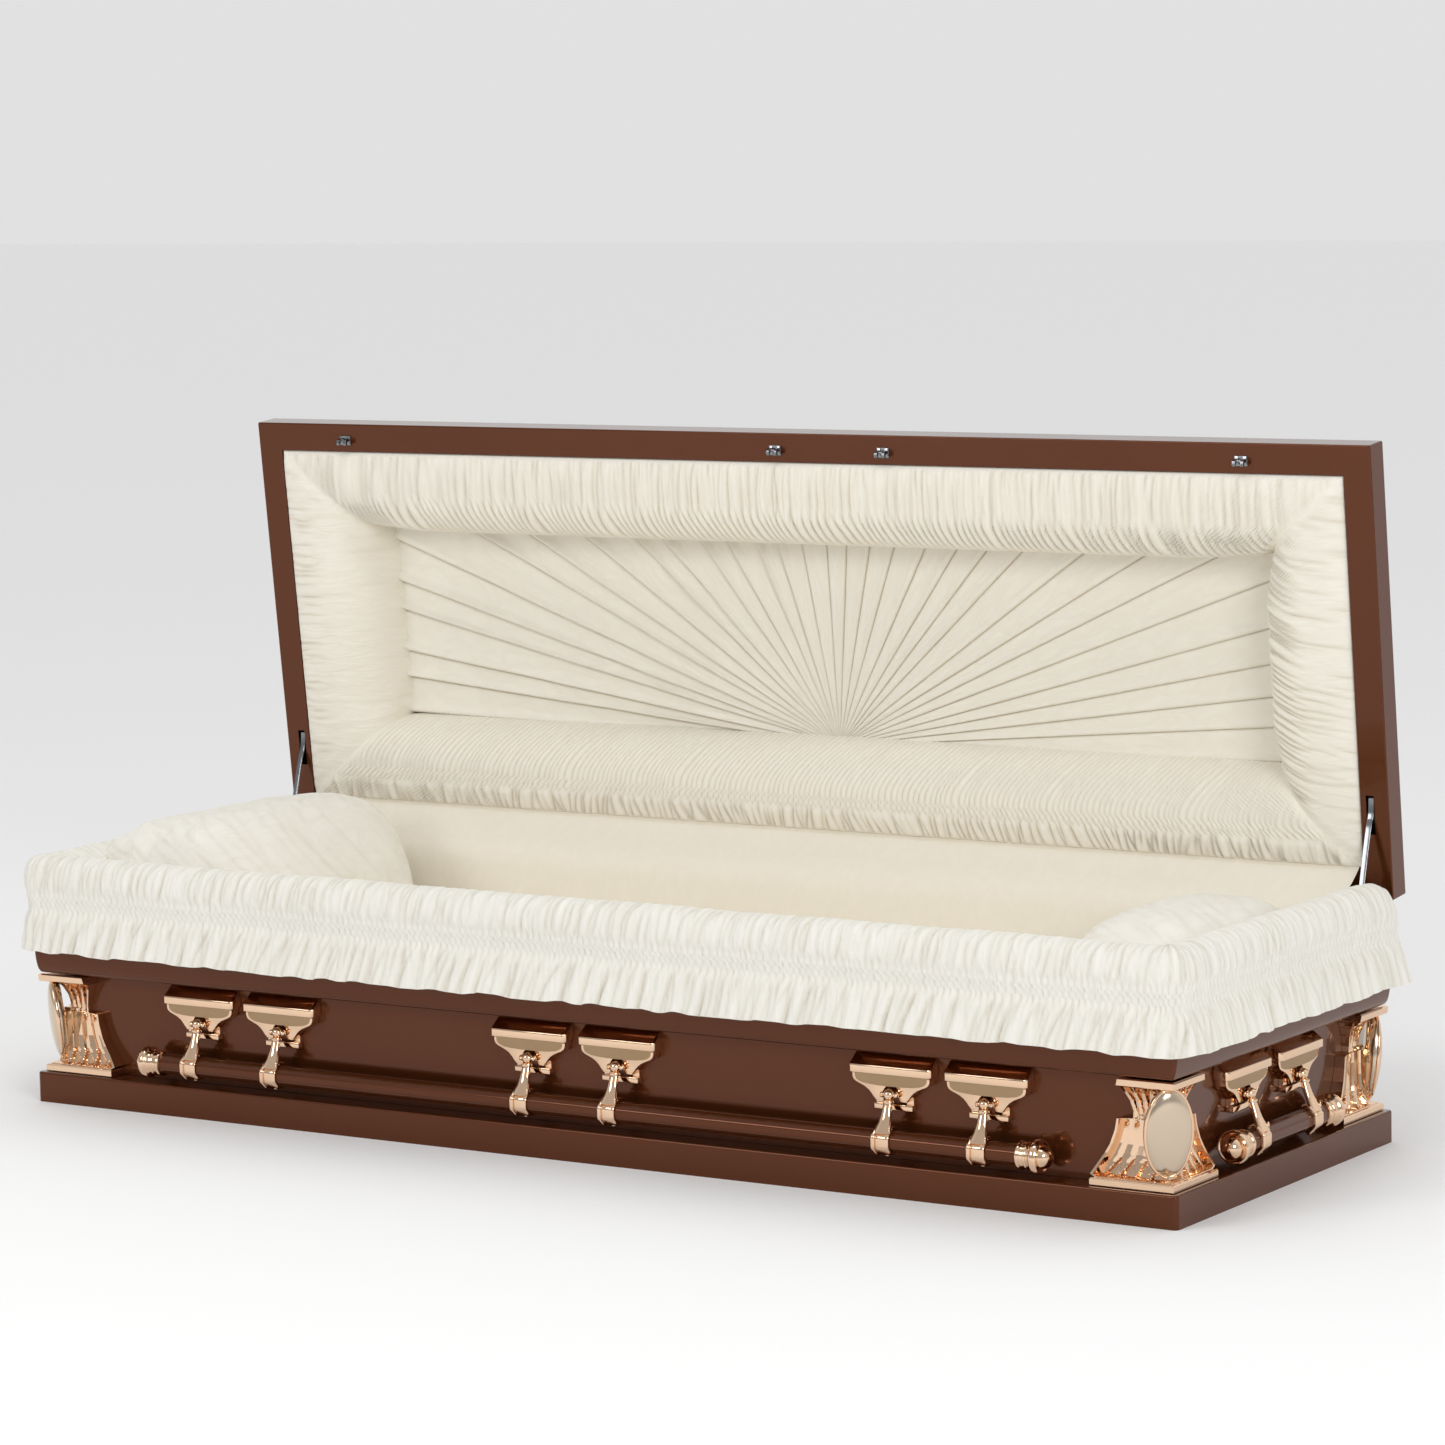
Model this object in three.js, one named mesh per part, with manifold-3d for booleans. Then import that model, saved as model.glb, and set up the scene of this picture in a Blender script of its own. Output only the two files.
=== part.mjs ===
// Funeral casket with a one-piece lid, shown open.
// Millimetres, +Z up. X runs along the length with the foot end at +X, -Y is the front.
// The origin is the middle of the underside.
import * as THREE from 'three';
import { mergeVertices } from 'three/addons/utils/BufferGeometryUtils.js';
import Module from 'manifold-3d';

const wasm = await Module();
wasm.setup();

// Driving dimensions
const LENGTH = 2120;
const WIDTH = 708;
const HALF_X = LENGTH / 2;
const HALF_Y = WIDTH / 2;
const SHEET = 1.2; // steel sheet of the box and the lid
const GAP = 0.4; // between pieces that touch
const EDGE_RADIUS = 8; // upright edges of base, rim and lid

const BASE_HEIGHT = 50;
const BASE_BEVEL = 3;
const BASE_LIP = 52; // width of the base's top
const FLOOR = 2;

const PANEL_INSET = 44; // side walls behind the base's outer face
const RIM_LOW = 215; // underside of the rim moulding
const RIM_LOW_INSET = 11;
const RIM_ROUND_TOP = 260;
const FLANGE_TOP = 368.5;
const FLANGE_WIDTH = 46;
const FLANGE_LIP = 14;

const HINGE_Y = HALF_Y + 4;
const HINGE_Z = 370;
const LID_OPEN = THREE.MathUtils.degToRad(84.2);
const LID_LOW = 371.5; // underside of the closed lid
const LID_RIM = 45;
const LID_FLANGE = 47.5;
const LID_HEIGHT = 212;

const BAR_INSET = 11;
const BAR_Z = 84;
const BAR_FLAT = 16; // from the bar's axis to each of its eight flats
const PIVOT_INSET = 20;
const PIVOT_Z = 151;

const LONG_EAR_X = [-734, -571, -82, 82, 571, 734];
const END_EAR_X = [-85, 85];
const LONG_BAR_HALF = 802;
const END_BAR_HALF = 128;

const HOOK_X = [-872, -2, 202, 842];
const HOOK_INSET = 28;
const HOOK_HALF = 10;
const HOOK_CLEAR = 7; // round each hook in the slot it drops into
const STAY_X = 1029;
const STAY_PIVOT = 155; // from the hinge edge, in the lid's flange
const STAY_LENGTH = 168;
const STAY_LEAN = THREE.MathUtils.degToRad(15.5);
const STAY_WIDTH = 9;
const STAY_THICK = 3;
const STAY_SLOT_HALF = 8;
const STAY_SLOT_Y = [190, 318]; // in the rim's flange

const MATTRESS_TOP = 262;
const LINING_INNER = 74;

// Finishes
const brown = new THREE.MeshStandardMaterial({ color: 0x5b3727, roughness: 0.18, metalness: 0.2 });
const roseGold = new THREE.MeshStandardMaterial({ color: 0xd9a67c, roughness: 0.15, metalness: 1 });
const chrome = new THREE.MeshStandardMaterial({ color: 0xc9ccd0, roughness: 0.12, metalness: 1 });
const cloth = new THREE.MeshStandardMaterial({ color: 0xe9e4d6, roughness: 0.85, metalness: 0 });
const lidCloth = new THREE.MeshStandardMaterial({ color: 0xe6dfcc, roughness: 0.85, metalness: 0 });

// Solids

function signedVolume(position, index) {
  const a = new THREE.Vector3();
  const b = new THREE.Vector3();
  const c = new THREE.Vector3();
  let volume = 0;
  for (let i = 0; i < index.length; i += 3) {
    a.fromBufferAttribute(position, index[i]);
    b.fromBufferAttribute(position, index[i + 1]);
    c.fromBufferAttribute(position, index[i + 2]);
    volume += a.dot(b.cross(c)) / 6;
  }
  return volume;
}

// A closed mesh from points and triangles, with its faces turned outwards.
function closedMesh(points, triangles) {
  const geometry = new THREE.BufferGeometry();
  geometry.setAttribute('position', new THREE.Float32BufferAttribute(points.flatMap((p) => [p.x, p.y, p.z]), 3));
  let index = triangles.flat();
  if (signedVolume(geometry.getAttribute('position'), index) < 0) {
    index = triangles.flatMap(([a, b, c]) => [a, c, b]);
  }
  geometry.setIndex(index);
  return geometry;
}

// The two axes in which a flat ring of points is widest.
function flatPoints(ring) {
  const size = new THREE.Box3().setFromPoints(ring).getSize(new THREE.Vector3());
  const axes = ['x', 'y', 'z'].sort((a, b) => size[b] - size[a]);
  return ring.map((p) => new THREE.Vector2(p[axes[0]], p[axes[1]]));
}

// Skin over a list of rings with equally many points. A looped skin joins its last ring to its first,
// and any other skin is capped at both ends.
function skin(rings, looped = false) {
  const count = rings[0].length;
  const triangles = [];
  const spans = looped ? rings.length : rings.length - 1;
  for (let r = 0; r < spans; r += 1) {
    const low = r * count;
    const high = ((r + 1) % rings.length) * count;
    for (let i = 0; i < count; i += 1) {
      const next = (i + 1) % count;
      triangles.push([low + i, low + next, high + next], [low + i, high + next, high + i]);
    }
  }
  if (!looped) {
    const last = (rings.length - 1) * count;
    triangles.push(...capTriangles(rings[0], false));
    triangles.push(...capTriangles(rings[rings.length - 1], true).map((corners) => corners.map((i) => i + last)));
  }
  return closedMesh(rings.flat(), triangles);
}

// Triangles over a ring, turned the way the ring runs or the other way.
function capTriangles(ring, along) {
  const flat = flatPoints(ring);
  const ringArea = THREE.ShapeUtils.area(flat);
  return THREE.ShapeUtils.triangulateShape(flat, []).map(([a, b, c]) => {
    const same = THREE.ShapeUtils.area([flat[a], flat[b], flat[c]]) * ringArea > 0;
    return same === along ? [a, b, c] : [a, c, b];
  });
}

// A prism: an outline of [a, b] pairs, set in space by place(a, b, t) at t = from and t = to.
function prism(outline, place, from, to) {
  return skin([from, to].map((t) => outline.map(([a, b]) => place(a, b, t))));
}

const alongX = (y, z, x) => new THREE.Vector3(x, y, z);
const alongY = (x, z, y) => new THREE.Vector3(x, y, z);

function block(low, high) {
  const outline = [[low[0], low[2]], [high[0], low[2]], [high[0], high[2]], [low[0], high[2]]];
  return prism(outline, alongY, low[1], high[1]);
}

function toSolid(geometry) {
  const bare = geometry.clone();
  bare.deleteAttribute('normal');
  bare.deleteAttribute('uv');
  const merged = mergeVertices(bare, 1e-4);
  const vertProperties = new Float32Array(merged.getAttribute('position').array);
  const triVerts = new Uint32Array(merged.getIndex().array);
  return new wasm.Manifold(new wasm.Mesh({ numProp: 3, vertProperties, triVerts }));
}

function toGeometry(solid) {
  const mesh = solid.getMesh();
  const geometry = new THREE.BufferGeometry();
  geometry.setAttribute('position', new THREE.Float32BufferAttribute(mesh.vertProperties, 3));
  geometry.setIndex(Array.from(mesh.triVerts));
  return geometry;
}

function join(...geometries) {
  return toGeometry(geometries.map(toSolid).reduce((a, b) => a.add(b)));
}

function cut(geometry, ...tools) {
  return toGeometry(tools.map(toSolid).reduce((a, b) => a.subtract(b), toSolid(geometry)));
}

// A ring round the box at a height, set back from the base's outer face, with rounded corners.
function boxRing(insetX, insetY, z, radius = EDGE_RADIUS) {
  const corner = Math.max(radius - Math.min(insetX, insetY), 2);
  const halfX = HALF_X - insetX - corner;
  const halfY = HALF_Y - insetY - corner;
  const ring = [];
  for (let quarter = 0; quarter < 4; quarter += 1) {
    const signX = quarter === 0 || quarter === 3 ? 1 : -1;
    const signY = quarter < 2 ? 1 : -1;
    for (const share of [0, 1]) {
      const angle = (quarter + share) * (Math.PI / 2);
      ring.push(new THREE.Vector3(
        signX * halfX + corner * Math.cos(angle),
        signY * halfY + corner * Math.sin(angle),
        z,
      ));
    }
  }
  return ring;
}

const evenRing = ([inset, z]) => boxRing(inset, inset, z);

const casket = new THREE.Group();

function addPiece(group, name, geometry, material) {
  const mesh = new THREE.Mesh(geometry, material);
  mesh.name = name;
  group.add(mesh);
}

// Box

function basePan() {
  const profile = [
    [0, 0], [0, BASE_HEIGHT - BASE_BEVEL], [BASE_BEVEL, BASE_HEIGHT], [BASE_LIP, BASE_HEIGHT],
    [BASE_LIP, BASE_HEIGHT - SHEET], [BASE_BEVEL + 1, BASE_HEIGHT - SHEET],
    [SHEET, BASE_HEIGHT - BASE_BEVEL - 1], [SHEET, FLOOR],
  ];
  return skin(profile.map(evenRing));
}

function bodyPanels() {
  const low = BASE_HEIGHT + GAP;
  const high = RIM_LOW - GAP;
  const profile = [
    [PANEL_INSET, low], [PANEL_INSET, high], [PANEL_INSET + SHEET, high], [PANEL_INSET + SHEET, low],
  ];
  return skin(profile.map(evenRing), true);
}

// The rim's rounded front, from its lower edge up to where it stands upright.
function rimRound(steps) {
  const points = [];
  for (let i = 0; i <= steps; i += 1) {
    const angle = (i / steps) * (Math.PI / 2);
    points.push([RIM_LOW_INSET * (1 - Math.sin(angle)), RIM_ROUND_TOP - (RIM_ROUND_TOP - RIM_LOW) * Math.cos(angle)]);
  }
  return points;
}

function rimMoulding() {
  const round = rimRound(4);
  const outside = [
    [PANEL_INSET, RIM_LOW], ...round, [0, FLANGE_TOP - 2], [2, FLANGE_TOP],
    [FLANGE_WIDTH, FLANGE_TOP], [FLANGE_WIDTH, FLANGE_TOP - FLANGE_LIP],
  ];
  const inside = [
    [FLANGE_WIDTH - SHEET, FLANGE_TOP - FLANGE_LIP], [FLANGE_WIDTH - SHEET, FLANGE_TOP - SHEET],
    [SHEET, FLANGE_TOP - SHEET],
    ...round.slice(1).reverse().map(([inset, z]) => [inset + SHEET, z]),
    [RIM_LOW_INSET + SHEET, RIM_LOW + SHEET], [PANEL_INSET, RIM_LOW + SHEET],
  ];
  const shell = skin([...outside, ...inside].map(evenRing), true);
  const low = FLANGE_TOP - 2 * FLANGE_LIP;
  const high = FLANGE_TOP + FLANGE_LIP;
  const slotX = HOOK_HALF + HOOK_CLEAR;
  const slotY = HOOK_CLEAR + 4;
  const hookSlots = HOOK_X.map((x) => block(
    [x - slotX, -HALF_Y + HOOK_INSET - slotY, low],
    [x + slotX, -HALF_Y + HOOK_INSET + slotY, high],
  ));
  const staySlots = [-STAY_X, STAY_X].map((x) => block(
    [x - STAY_SLOT_HALF, STAY_SLOT_Y[0], low],
    [x + STAY_SLOT_HALF, STAY_SLOT_Y[1], high],
  ));
  return cut(shell, ...hookSlots, ...staySlots);
}

// Corner casting at a corner whose inward directions are +X and +Y.
// Stations: height, reach along each wall, distance of the face from the base's outer face, flute depth.
const CORNER_STATIONS = [
  [BASE_HEIGHT + GAP, 148, 11, 0],
  [62, 148, 11, 0],
  [66, 150, 19, 3],
  [84, 139, 24, 4],
  [112, 121, 29, 4],
  [150, 112, 31, 3],
  [150.5, 86, 33, 3],
  [176, 90, 31, 4],
  [200, 101, 17, 2],
  [203, 99, 6, 0],
  [RIM_LOW - 2, 99, 6, 0],
];
const FLUTE_EDGES = [1, 0.7, 0.46]; // share of the reach

function cornerRing([z, reach, face, flute]) {
  const wall = PANEL_INSET - GAP;
  const side = [[reach, wall], [reach, face]];
  FLUTE_EDGES.slice(1).forEach((share, i) => {
    const before = face + flute * (i % 2);
    const after = face + flute * ((i + 1) % 2);
    side.push([reach * share, before], [reach * share - 2, after]);
  });
  const wallOfX = side.map(([along, out]) => new THREE.Vector3(along, out, z));
  const wallOfY = side.map(([along, out]) => new THREE.Vector3(out, along, z)).reverse();
  const mitre = face + flute * ((FLUTE_EDGES.length - 1) % 2);
  return [...wallOfX, new THREE.Vector3(mitre, mitre, z), ...wallOfY, new THREE.Vector3(wall, wall, z)];
}

const MEDALLION_HALF = [15, 35, 65]; // depth, width, height
const MEDALLION_INSET = 26;
const MEDALLION_Z = 135;

function cornerCasting() {
  const casting = skin(CORNER_STATIONS.map(cornerRing));
  const medallion = new THREE.SphereGeometry(1, 10, 6);
  medallion.scale(...MEDALLION_HALF);
  medallion.rotateZ(Math.PI / 4);
  medallion.translate(MEDALLION_INSET, MEDALLION_INSET, MEDALLION_Z);
  return join(casting, medallion);
}

// Handles. In a side's own frame X runs along the wall and Y is the distance in from the base's outer face.

const EAR_HALF = 71;
const EAR_FRONT = 18;
const EAR_BAR_LOW = 181;
const EAR_BAR_HIGH = 193;
const EAR_FOOT_LOW = 126;
const EAR_FOOT_HIGH = 135;
const EAR_FOOT_DEPTH = 13;
const EAR_FOOT_HALF = 33;
const EAR_PLATE = 5; // back plate between the foot and the bar
const EAR_CAP_RISE = 16; // slope of the ear's top
const CORBEL_LOW = 140;

// Half the ear's corbel from its top to its foot: half width and height.
const CORBEL = [[61, EAR_BAR_LOW + 1], [59, 173], [49, 165], [37, 156], [30, 147], [27, CORBEL_LOW]];

function earArch(steps) {
  const half = 13;
  const spring = 152;
  const points = [[-half, CORBEL_LOW]];
  for (let i = 0; i <= steps; i += 1) {
    const angle = Math.PI * (1 - i / steps);
    points.push([half * Math.cos(angle), spring + half * Math.sin(angle)]);
  }
  points.push([half, CORBEL_LOW]);
  return points;
}

function handleEar() {
  const wall = PANEL_INSET - GAP;
  const cap = [
    [wall, EAR_BAR_HIGH + EAR_CAP_RISE], [wall - 4, EAR_BAR_HIGH + EAR_CAP_RISE], [EAR_FRONT, EAR_BAR_HIGH],
    [EAR_FRONT, EAR_BAR_LOW], [wall, EAR_BAR_LOW],
  ];
  const left = CORBEL.map(([half, z]) => [-half, z]);
  const right = CORBEL.map(([half, z]) => [half, z]).reverse();
  const corbel = prism([...left, ...earArch(3), ...right], alongY, EAR_FRONT + 4, wall);
  const foot = [
    [wall, EAR_FOOT_LOW], [wall - EAR_FOOT_DEPTH, EAR_FOOT_LOW], [wall - EAR_FOOT_DEPTH, EAR_FOOT_HIGH],
    [wall - EAR_PLATE, EAR_FOOT_HIGH], [wall - EAR_PLATE, EAR_BAR_LOW + 2], [wall, EAR_BAR_LOW + 2],
  ];
  return join(
    prism(cap, alongX, -EAR_HALF, EAR_HALF),
    corbel,
    prism(foot, alongX, -EAR_FOOT_HALF, EAR_FOOT_HALF),
  );
}

// Points of the bar's eight-sided section, or of a band a little outside it.
function barSection(offset) {
  const reach = (BAR_FLAT + offset) / Math.cos(Math.PI / 8);
  const section = [];
  for (let i = 0; i < 8; i += 1) {
    const angle = (i + 0.5) * (Math.PI / 4);
    section.push([BAR_INSET + reach * Math.cos(angle), BAR_Z + reach * Math.sin(angle)]);
  }
  return section;
}

const EYE_RADIUS = 8.5;
const EYE_HALF = 7;
const STRAP_HALF = 13;
const STRAP_THICK = 5;

// Arm: an eye on the ear's pin, a slender shank and a strap that wraps the front of the bar.
function handleArm() {
  const eye = [];
  for (let i = 0; i < 8; i += 1) {
    const angle = (i + 0.5) * (Math.PI / 4);
    eye.push([PIVOT_INSET + EYE_RADIUS * Math.cos(angle), PIVOT_Z + EYE_RADIUS * Math.sin(angle)]);
  }
  const shankRing = ([z, middle, halfX, halfY]) => [
    new THREE.Vector3(-halfX, middle - halfY, z),
    new THREE.Vector3(halfX, middle - halfY, z),
    new THREE.Vector3(halfX, middle + halfY, z),
    new THREE.Vector3(-halfX, middle + halfY, z),
  ];
  const shank = skin([
    [BAR_Z + BAR_FLAT + 1, BAR_INSET - 4, 11, 5],
    [118, 11, 7, 5],
    [PIVOT_Z - 4, PIVOT_INSET - 2, 8, 6],
  ].map(shankRing));
  const outer = barSection(STRAP_THICK);
  const inner = barSection(GAP);
  const wrapped = [1, 2, 3, 4, 5, 6]; // corners of the section, round the bar's front
  const strap = [...wrapped.map((i) => outer[i]), ...wrapped.map((i) => inner[i]).reverse()];
  return join(prism(eye, alongX, -EYE_HALF, EYE_HALF), shank, prism(strap, alongX, -STRAP_HALF, STRAP_HALF));
}

// End tip of a bar: rings and a domed button, as distance along the bar and radius.
const TIP = [[-4, 0], [-4, 21], [6, 21], [9, 17.5], [16, 24], [30, 24], [36, 18], [47, 12], [50, 0]];

function barTip(along, sign) {
  const lathe = new THREE.LatheGeometry(TIP.map(([x, radius]) => new THREE.Vector2(radius, x)), 10);
  lathe.rotateZ(-sign * (Math.PI / 2));
  lathe.translate(sign * along, BAR_INSET, BAR_Z);
  return lathe;
}

function handleBar(half) {
  return join(prism(barSection(0), alongX, -half, half), barTip(half, 1), barTip(half, -1));
}

// One side of the box with its ears, its bar and its arms.
function addSide(name, ears, half, x, y, turn) {
  const side = new THREE.Group();
  side.position.set(x, y, 0);
  side.rotation.z = turn;
  ears.forEach((along, i) => {
    addPiece(side, `ear_${name}_${i + 1}`, handleEar().translate(along, 0, 0), roseGold);
    addPiece(side, `arm_${name}_${i + 1}`, handleArm().translate(along, 0, 0), roseGold);
  });
  addPiece(side, `bar_${name}`, handleBar(half), brown);
  casket.add(side);
}

// Soft pieces of the box

function bodyLining() {
  const low = BASE_HEIGHT + GAP;
  const high = FLANGE_TOP - 8;
  const outer = FLANGE_WIDTH + 2;
  const profile = [
    [outer, low], [outer, high], [LINING_INNER - 6, high], [LINING_INNER, high - 12], [LINING_INNER, low],
  ];
  return skin(profile.map(evenRing), true);
}

const CUSHION_LOW_ANGLE = -0.9; // on a ball's section, from the flat underside
const CUSHION_HIGH_ANGLE = 1.42; // to the flattened crest
const CUSHION_SQUARE = 0.5; // 1 is an oval plan, less is squarer
const CUSHION_BULGE = 0.35;
const CUSHION_SIDES = 16;
const PILLOW = { low: [-980, -262], high: [-610, 262], top: 462 };
const FOOT_CUSHION = { low: [775, -190], high: [980, 250], top: 404 };

// A cushion between two corners: rings that swell at mid height, the lowest one flat on what carries it.
function cushion(low, high) {
  const centreX = (low[0] + high[0]) / 2;
  const centreY = (low[1] + high[1]) / 2;
  const halfX = (high[0] - low[0]) / 2;
  const halfY = (high[1] - low[1]) / 2;
  const bottom = Math.sin(CUSHION_LOW_ANGLE);
  const rings = [];
  const steps = 6;
  for (let i = 0; i <= steps; i += 1) {
    const angle = THREE.MathUtils.lerp(CUSHION_LOW_ANGLE, CUSHION_HIGH_ANGLE, i / steps);
    const spread = Math.pow(Math.cos(angle), CUSHION_BULGE);
    const share = (Math.sin(angle) - bottom) / (Math.sin(CUSHION_HIGH_ANGLE) - bottom);
    const ring = [];
    for (let k = 0; k < CUSHION_SIDES; k += 1) {
      const turn = (k / CUSHION_SIDES) * Math.PI * 2;
      const squareX = Math.sign(Math.cos(turn)) * Math.pow(Math.abs(Math.cos(turn)), CUSHION_SQUARE);
      const squareY = Math.sign(Math.sin(turn)) * Math.pow(Math.abs(Math.sin(turn)), CUSHION_SQUARE);
      ring.push(new THREE.Vector3(
        centreX + halfX * spread * squareX,
        centreY + halfY * spread * squareY,
        low[2] + (high[2] - low[2]) * share,
      ));
    }
    rings.push(ring);
  }
  return skin(rings);
}

function mattress() {
  const inset = LINING_INNER + 2;
  const profile = [
    [inset + 8, FLOOR + GAP], [inset, FLOOR + 10], [inset, MATTRESS_TOP - 14],
    [inset + 5, MATTRESS_TOP - 4], [inset + 16, MATTRESS_TOP],
  ];
  return skin(profile.map(evenRing));
}

// Section of the apron: distance out from the base's outer face and height, from the inner edge
// over the puffed crown and down past the smocked band to the hem, then back along the inside.
const APRON = [
  [-62, 363], [-61, 385], [-42, 403], [-15, 409], [8, 400], [20, 376], [20, 346], [15, 322],
  [23, 298], [34, 256],
  [28, 256], [16, 298], [8, 322], [9, 346], [9, 372], [-2, 380], [-40, 378], [-52, 374], [-53, 363],
];
const APRON_CORNER = 22; // centre of the corner's curve, in from both outer faces
const APRON_END = 338;
const APRON_END_SLOPE = 0.35; // the ends run further back towards the hem
const APRON_SLOPE_Z = 372;
const APRON_TUCKED = -30; // from here inwards the section lies over the flange
const APRON_INNER_END = 288; // the tucked edge stops in front of the back flange
const STAY_NOTCH_HALF = 9;
const STAY_NOTCH_LOW = [276, 355]; // y and z
const STAY_NOTCH_HIGH = [326, 430];

// Places along the apron's U: the point and the outward direction.
function apronPath() {
  const path = [];
  const cornerSteps = 5;
  path.push({ x: -HALF_X, y: APRON_END, nx: -1, ny: 0, end: true });
  [-1, 1].forEach((signX) => {
    for (let i = 0; i <= cornerSteps; i += 1) {
      const share = signX < 0 ? i / cornerSteps : 1 - i / cornerSteps;
      const angle = share * (Math.PI / 2);
      const nx = signX * Math.cos(angle);
      const ny = -Math.sin(angle);
      path.push({
        x: signX * (HALF_X - APRON_CORNER) + APRON_CORNER * nx,
        y: -(HALF_Y - APRON_CORNER) + APRON_CORNER * ny,
        nx,
        ny,
        end: false,
      });
    }
  });
  path.push({ x: HALF_X, y: APRON_END, nx: 1, ny: 0, end: true });
  return path;
}

// On the inside of a corner the section closes up to a fixed inset square instead of crossing itself.
function apronRing({ x, y, nx, ny, end }) {
  return APRON.map(([out, z]) => {
    const inward = Math.max(0, -out - APRON_CORNER);
    const slope = end ? APRON_END_SLOPE * Math.max(0, APRON_SLOPE_Z - z) : 0;
    const stop = end && out < APRON_TUCKED ? APRON_INNER_END - APRON_END : slope;
    const reach = Math.max(out, -APRON_CORNER);
    const signX = Math.sign(nx) || Math.sign(x);
    const squareX = -signX * inward;
    const squareY = end ? 0 : inward;
    return new THREE.Vector3(x + nx * reach + squareX, y + ny * reach + squareY + stop, z);
  });
}

function apron() {
  const notches = [-STAY_X, STAY_X].map((x) => block(
    [x - STAY_NOTCH_HALF, ...STAY_NOTCH_LOW],
    [x + STAY_NOTCH_HALF, ...STAY_NOTCH_HIGH],
  ));
  return cut(skin(apronPath().map(apronRing)), ...notches);
}

const HINGE_COVER_HALF = 990;

// Smooth cloth from the top of the back lining up to the inner edge of the lid's lower flange.
function hingeCover() {
  const outline = [
    [296, 361], [303, 361], [305, 373], [336, 402], [346, 419], [341, 421], [330, 406], [298, 376],
  ];
  return prism(outline, alongX, -HINGE_COVER_HALF, HINGE_COVER_HALF);
}

// Hinge: a leaf with its share of the knuckles, along the back.
const KNUCKLE_LENGTH = 270;
const KNUCKLE_COUNT = 7;
const KNUCKLE_RADIUS = 3.5;
const LEAF_Y = [-3.5, -2]; // both faces of a leaf, from the hinge axis

function hingeLeaf(parity, leafLow, leafHigh) {
  const start = -(KNUCKLE_LENGTH * KNUCKLE_COUNT) / 2;
  const outline = [];
  for (let i = 0; i < 8; i += 1) {
    const angle = (i + 0.5) * (Math.PI / 4);
    outline.push([KNUCKLE_RADIUS * Math.cos(angle), KNUCKLE_RADIUS * Math.sin(angle)]);
  }
  const pieces = [block([start, LEAF_Y[0], leafLow], [-start, LEAF_Y[1], leafHigh])];
  for (let i = parity; i < KNUCKLE_COUNT; i += 2) {
    const from = start + i * KNUCKLE_LENGTH + 0.5;
    const to = from + KNUCKLE_LENGTH - 1;
    const tongueLow = parity ? -0.5 : leafHigh - 1;
    const tongueHigh = parity ? leafLow + 1 : 0.5;
    pieces.push(prism(outline, alongX, from, to));
    pieces.push(block([from, LEAF_Y[0], tongueLow], [to, LEAF_Y[1], tongueHigh]));
  }
  return join(...pieces);
}

// Lid, described closed and measured from the hinge axis.
const lidGroup = new THREE.Group();
lidGroup.position.set(0, HINGE_Y, HINGE_Z);
lidGroup.rotation.x = -LID_OPEN;

const lidShift = new THREE.Vector3(0, -HINGE_Y, LID_LOW - HINGE_Z);
const lidRing = ([insetX, insetY, height]) => boxRing(insetX, insetY, height).map((p) => p.add(lidShift));

// Crown of the lid from its rim to its flat top: set-back at the ends, set-back at the sides, height.
const LID_CROWN = [
  [10, 10, 47], [18, 17, 56], [30, 27, 76], [44, 38, 104], [66, 54, 142], [96, 76, 174],
  [140, 105, 196], [220, 150, 208], [330, 200, LID_HEIGHT],
];

const LID_SLOT_HALF = 7;
const LID_SLOT_ABOVE = 9; // the stay's slot, above and below its pivot in the open lid
const LID_SLOT_BELOW = 52;

function lidShell() {
  const outside = [...LID_CROWN].reverse();
  const rim = [
    [0, 0, LID_RIM], [0, 0, 0], [LID_FLANGE, LID_FLANGE, 0], [LID_FLANGE, LID_FLANGE, 10],
    [LID_FLANGE - SHEET, LID_FLANGE - SHEET, 10], [LID_FLANGE - SHEET, LID_FLANGE - SHEET, SHEET],
    [SHEET, SHEET, SHEET], [SHEET, SHEET, LID_RIM - SHEET],
  ];
  const inside = LID_CROWN.map(([x, y, height]) => [x + SHEET, y + SHEET, height - SHEET]);
  const slots = [-STAY_X, STAY_X].map((x) => block(
    [x - LID_SLOT_HALF, -STAY_PIVOT - LID_SLOT_ABOVE, -10],
    [x + LID_SLOT_HALF, -STAY_PIVOT + LID_SLOT_BELOW, 6],
  ));
  return cut(skin([...outside, ...rim, ...inside].map(lidRing)), ...slots);
}

// Surround of the lid's lining: share of the way from the flange to the panel, and depth.
const ROLL = [
  [0, 14], [0.07, 5], [0.25, 1.5], [0.5, 4], [0.72, 20], [0.88, 52], [1, 104],
  [0.98, 114], [0.5, 104], [0.06, 70], [0, 40],
];
const PANEL_INSET_X = 205;
const PANEL_INSET_Y = 186;
const PANEL_DEPTH = 105;
const PLEAT_DEPTH = 4;
const PLEAT_COUNT = 32;

function lidRoll() {
  const start = LID_FLANGE + 2;
  return skin(ROLL.map(([share, depth]) => lidRing([
    start + share * (PANEL_INSET_X - 2 - start),
    start + share * (PANEL_INSET_Y - 2 - start),
    depth,
  ])), true);
}

// Directions of the pleats from the middle of the panel's hinge-side edge. The nearest ones run into the corners.
function pleatAngles(halfX, height) {
  const step = Math.PI / (2 * PLEAT_COUNT);
  const angles = [];
  for (let i = 0; i <= 2 * PLEAT_COUNT; i += 1) angles.push(i * step);
  const corner = Math.atan2(height, halfX);
  const nearest = Math.round(corner / step);
  angles[nearest] = corner;
  angles[2 * PLEAT_COUNT - nearest] = Math.PI - corner;
  return angles;
}

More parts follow.
